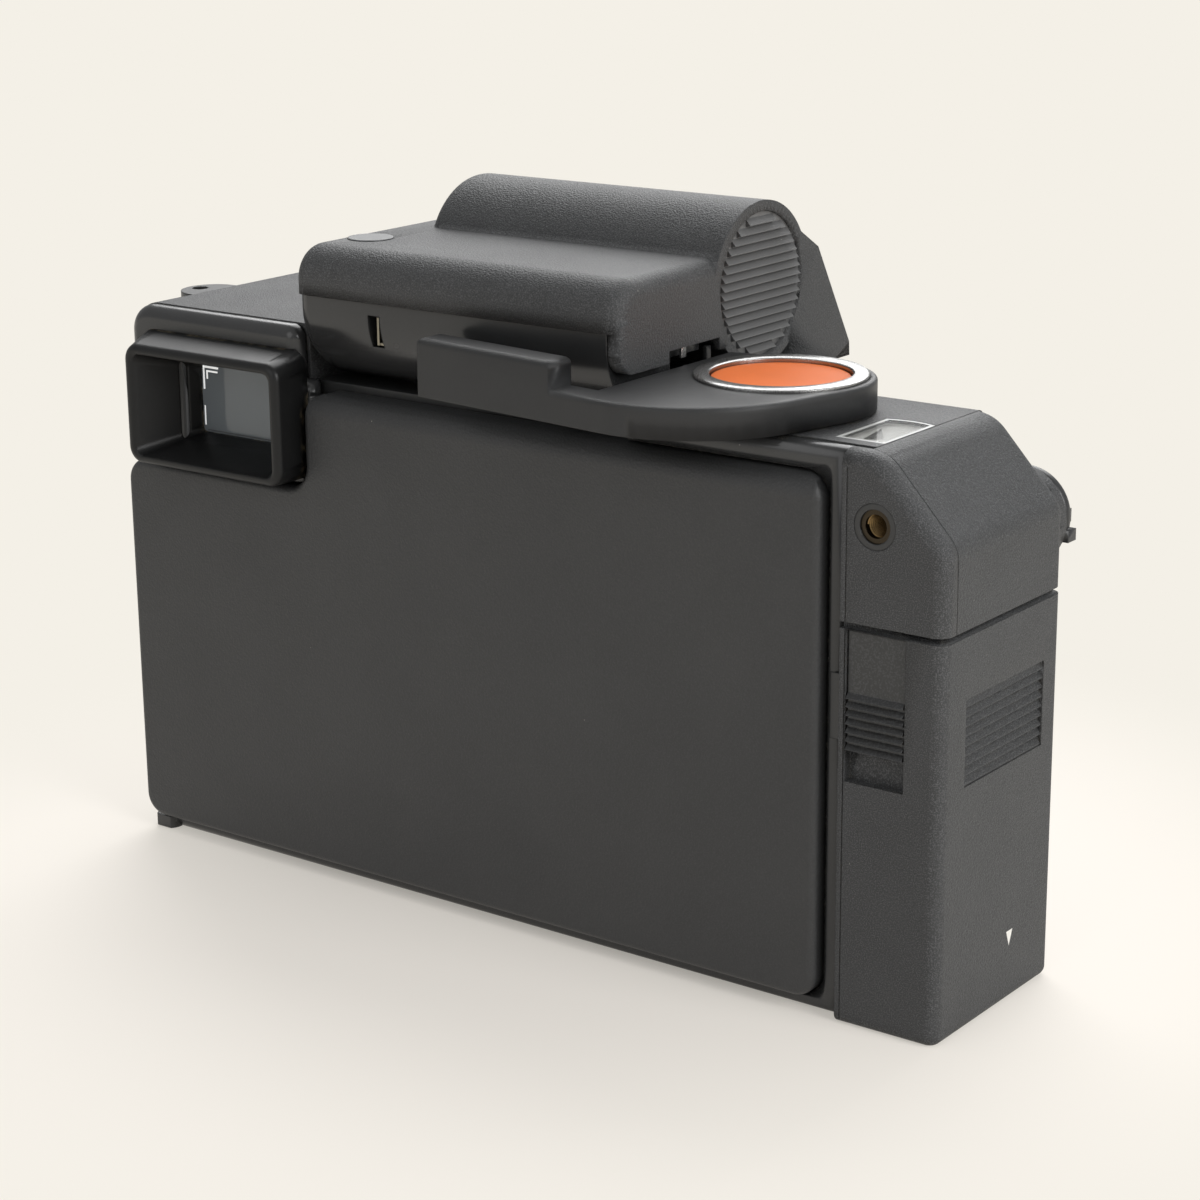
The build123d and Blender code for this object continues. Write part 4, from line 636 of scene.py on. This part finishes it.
# The thin plate over the latch hook's slot in the rim
hookPlate = dict(x0=-48.64, x1=-46.85, depth0=1.12, depth1=1.27, z0=33.9, z1=41.7, soft=0.05)


def makeHookPlate():
    shape = bmesh.new()
    addBar(shape, **hookPlate)
    newPiece("hookPlate", shape, "glossRim", "camera_body")


makeHookPlate()
print("hook plate made")


# The flash's underside: a round nose about the pivot, slots swept by the hinge ears, and the leaf's pocket
under = dict(right=-16.6, left=31.5, top=76.67, pivot=(10.0, 75.0), nose=9.5, shelf=(13.0, 71.9), front=19.0,
             steps=28, sweep=2.5, hubAngles=(0.0, 0.2, 0.4, 0.6), corner=2.2, cornerSteps=5,
             slots=((-9.9, -8.0), (9.2, 11.1)), pocket=(17.7, 19.6), pocketHeights=(71.1, 75.1), pocketDepth=3.2)


def makeUnderside():
    shape = bmesh.new()
    (deep, middle), nose, top = under["pivot"], under["nose"], under["top"]
    low, high = under["pocketHeights"]
    rear = deep - nose
    sweep, steps = under["sweep"], under["steps"]
    fall = sweep * sqrt(2)  # the swept edge runs up at 45 degrees, this far from the pivot along depth
    reach = (-fall - sqrt(2 * nose ** 2 - fall ** 2)) / 2
    cut = (deep + reach, middle + reach + fall)
    angles = [pi / 2 * k / steps for k in range(1, steps + 1)]
    arc = [(deep - nose * cos(angle), middle - nose * sin(angle)) for angle in angles]
    crest = sqrt(sweep ** 2 - (top - middle) ** 2)
    ring = [(deep + sweep * cos(angle), middle + sweep * sin(angle)) for angle in under["hubAngles"]]
    upper = [point for point in arc if point[1] > cut[1]]
    lower = [point for point in arc if point[1] < cut[1]]
    pocketTop = (rear, high)
    pocketLow = (deep - sqrt(nose ** 2 - (low - middle) ** 2), low)
    upper = sorted(upper + [pocketLow], key=lambda point: -point[1])
    back = [(rear, top), pocketTop, (rear, middle)] + upper + [cut]
    bottom = lower + [(deep + sweep, middle - nose)]
    shelf, front = under["shelf"], under["front"]
    fore = [(shelf[0], middle - nose), shelf, (front, shelf[1]), (front, top)]
    hub = ring + [(deep + crest, top)]
    rise = (deep - (fall - (top - middle)), top)
    whole = back + bottom + fore + [hub[-1], rise]
    rearPart = back + [rise]
    forePart = bottom[-1:] + fore + hub[::-1]
    hollow = [cut] + bottom + hub + [rise]
    inner = [(under["pocketDepth"], high), (under["pocketDepth"], low)]
    dented = [whole[0], pocketTop] + inner + whole[whole.index(pocketLow):]
    dent = [pocketTop] + inner + whole[whole.index(pocketLow):1:-1]
    (slotA, slotB), (slotC, slotD) = under["slots"]
    stations = [under["right"], slotA, slotB, slotC, slotD, *under["pocket"], under["left"]]
    parts = [[whole], [rearPart, forePart], [whole], [rearPart, forePart], [whole], [dented], [whole]]
    walls = {1: hollow, 2: hollow, 3: hollow, 4: hollow, 5: dent, 6: dent}
    corners = [{point: shape.verts.new(spot(x, *point)) for point in whole + hub + inner} for x in stations]
    for k, loops in enumerate(parts):
        for loop in loops:
            for first, second in zip(loop, loop[1:] + loop[:1]):
                near, far = corners[k], corners[k + 1]
                shape.faces.new((near[first], near[second], far[second], far[first]))
    for k, loop in walls.items():
        shape.faces.new([corners[k][point] for point in loop])
    shape.faces.new([corners[0][point] for point in whole])
    shape.faces.new([corners[-1][point] for point in whole])
    bmesh.ops.recalc_face_normals(shape, faces=shape.faces)
    end = corners[-1]
    rim = [shape.edges.get((end[first], end[second])) for first, second in zip(back + lower, (back + lower)[1:])]
    bmesh.ops.bevel(shape, geom=rim, offset=under["corner"] * mm, segments=under["cornerSteps"], profile=0.5,
                    affect="EDGES", material=-1)
    bmesh.ops.delete(shape, geom=[vert for vert in shape.verts if not vert.link_faces], context="VERTS")
    piece = newPiece("flashUnderside", shape, "underGloss", "flash", smooth=True)
    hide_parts("flash_underside")


makeUnderside()
print("flash underside made")


# Printed marks: the arrow to the cells, and the distances on the lens
gripArrow = dict(x=-62.0, points=((16.0, 8.95), (16.7, 7.05), (17.45, 8.95)), proud=0.008, sunk=0.1)
distances = dict(x=6.25, z=31.6, front=53.0, ring=17.3, size=2.1, thick=0.015, between=24.0,
                 words=("1", "1.5", "2", "3", "5", "\u221e"))
indexDot = dict(x=6.25, z=54.6, front=48.0, radius=0.65, slant=0.1, proud=0.02, sunk=0.05, steps=32)


def makePrints():
    shape = bmesh.new()
    points = [spot(gripArrow["x"] + gripArrow["sunk"], depth, z) for depth, z in gripArrow["points"]]
    addPlate(shape, points, gripArrow["sunk"] + gripArrow["proud"])
    newPiece("gripArrow", shape, "printWhite", "camera_body")
    count = len(distances["words"])
    facing = Matrix.Rotation(pi, 4, "Z") @ Matrix.Rotation(pi / 2, 4, "X") @ Matrix.Rotation(pi, 4, "Y")
    centre = Matrix.Translation(spot(distances["x"], distances["front"], distances["z"]))
    for k, words in enumerate(distances["words"]):
        angle = radians(distances["between"] * (k - (count - 1) / 2))
        swing = Matrix.Rotation(angle, 4, "Y")
        out = Matrix.Translation((0, 0, distances["ring"] * mm)) @ Matrix.Rotation(pi / 2, 4, "X")
        figure("distance%d" % k, words, distances["size"], distances["thick"], centre @ swing @ out, "printWhite",
               "focus")
    shape = bmesh.new()
    radius, proud, sunk = indexDot["radius"], indexDot["proud"], indexDot["sunk"]
    lathe(shape, [(0, proud), (radius - indexDot["slant"], proud), (radius, -sunk), (0, -sunk)],
          spot(indexDot["x"], indexDot["front"], indexDot["z"]), (0, -1, 0), indexDot["steps"])
    newPiece("indexDot", shape, "printWhite", "camera_body")


makePrints()
print("prints made")


# Threads in the two sockets: flank and crest are half widths, as shares of the pitch and of the flank
threadForm = dict(flank=0.42, crest=0.15, steps=32)
threads = {
    "releaseThread": dict(middle=(-52.95, 0.9, 59.5), axis=(0, -1, 0), radius=1.36, depth=0.16, pitch=0.40,
                          turns=11, finish="threadBrass"),
    "tripodThread": dict(middle=(0.0, 17.0, 0.35), axis=(0, 0, 1), radius=3.19, depth=0.42, pitch=1.27,
                         turns=4, finish="turnedBrass"),
}


def makeThread(name, look):
    shape = bmesh.new()
    axis = Vector(look["axis"])
    side = Vector((1, 0, 0))
    middle = spot(*look["middle"])
    outer, inner = look["radius"], look["radius"] - look["depth"]
    half = look["pitch"] * threadForm["flank"]
    crest, steps = half * threadForm["crest"], threadForm["steps"]
    profile = [(outer, -half), (inner, -crest), (inner, crest), (outer, half)]
    verts = [shape.verts.new(middle + (side * out + axis * along) * mm) for out, along in profile]
    rim = [shape.edges.new(pair) for pair in zip(verts, verts[1:] + verts[:1])]
    ends = [shape.faces.new(verts)]
    bmesh.ops.spin(shape, geom=verts + rim + ends, cent=middle, axis=axis, dvec=axis * look["pitch"] / steps * mm,
                   angle=2 * pi * look["turns"], steps=look["turns"] * steps, use_duplicate=False)
    newPiece(name, shape, look["finish"], "camera_body")


for threadName, threadLook in threads.items():
    makeThread(threadName, threadLook)
print("threads made")


# Curved covers, merged so that their rounds shade smoothly
rounded = ["flash_shell", "wind_lever", "lever_ring", "end_cover", "release_panel", "eyepiece_frame",
           "back_door", "front_cover", "viewfinder_cover", "lens_housing", "focus_ring", "lens_bezel", "front_lens",
           "grip_housing", "rewind_selector", "ready_lamp", "chassis", "strap_lug"]


def makeRounded(nodeName):
    body = next(name for name, members in frame["record"]["behaviour"]["bodies"].items() if nodeName in members)
    shape = bmesh.new()
    shape.from_mesh(nodes[nodeName].data)
    bmesh.ops.remove_doubles(shape, verts=shape.verts, dist=mergeReach * mm)
    mesh = newMesh(nodeName + "Skin", shape)
    smoothMesh(mesh)
    mesh.materials.append(finishOf(nodeName))
    skin = addObject(nodeName + "Skin", mesh)
    flatten = skin.modifiers.new("flatFaces", "WEIGHTED_NORMAL")
    flatten.keep_sharp = True
    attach(skin, body)
    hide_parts(nodeName)


for roundedName in rounded:
    makeRounded(roundedName)
print("covers smoothed:", len(rounded))
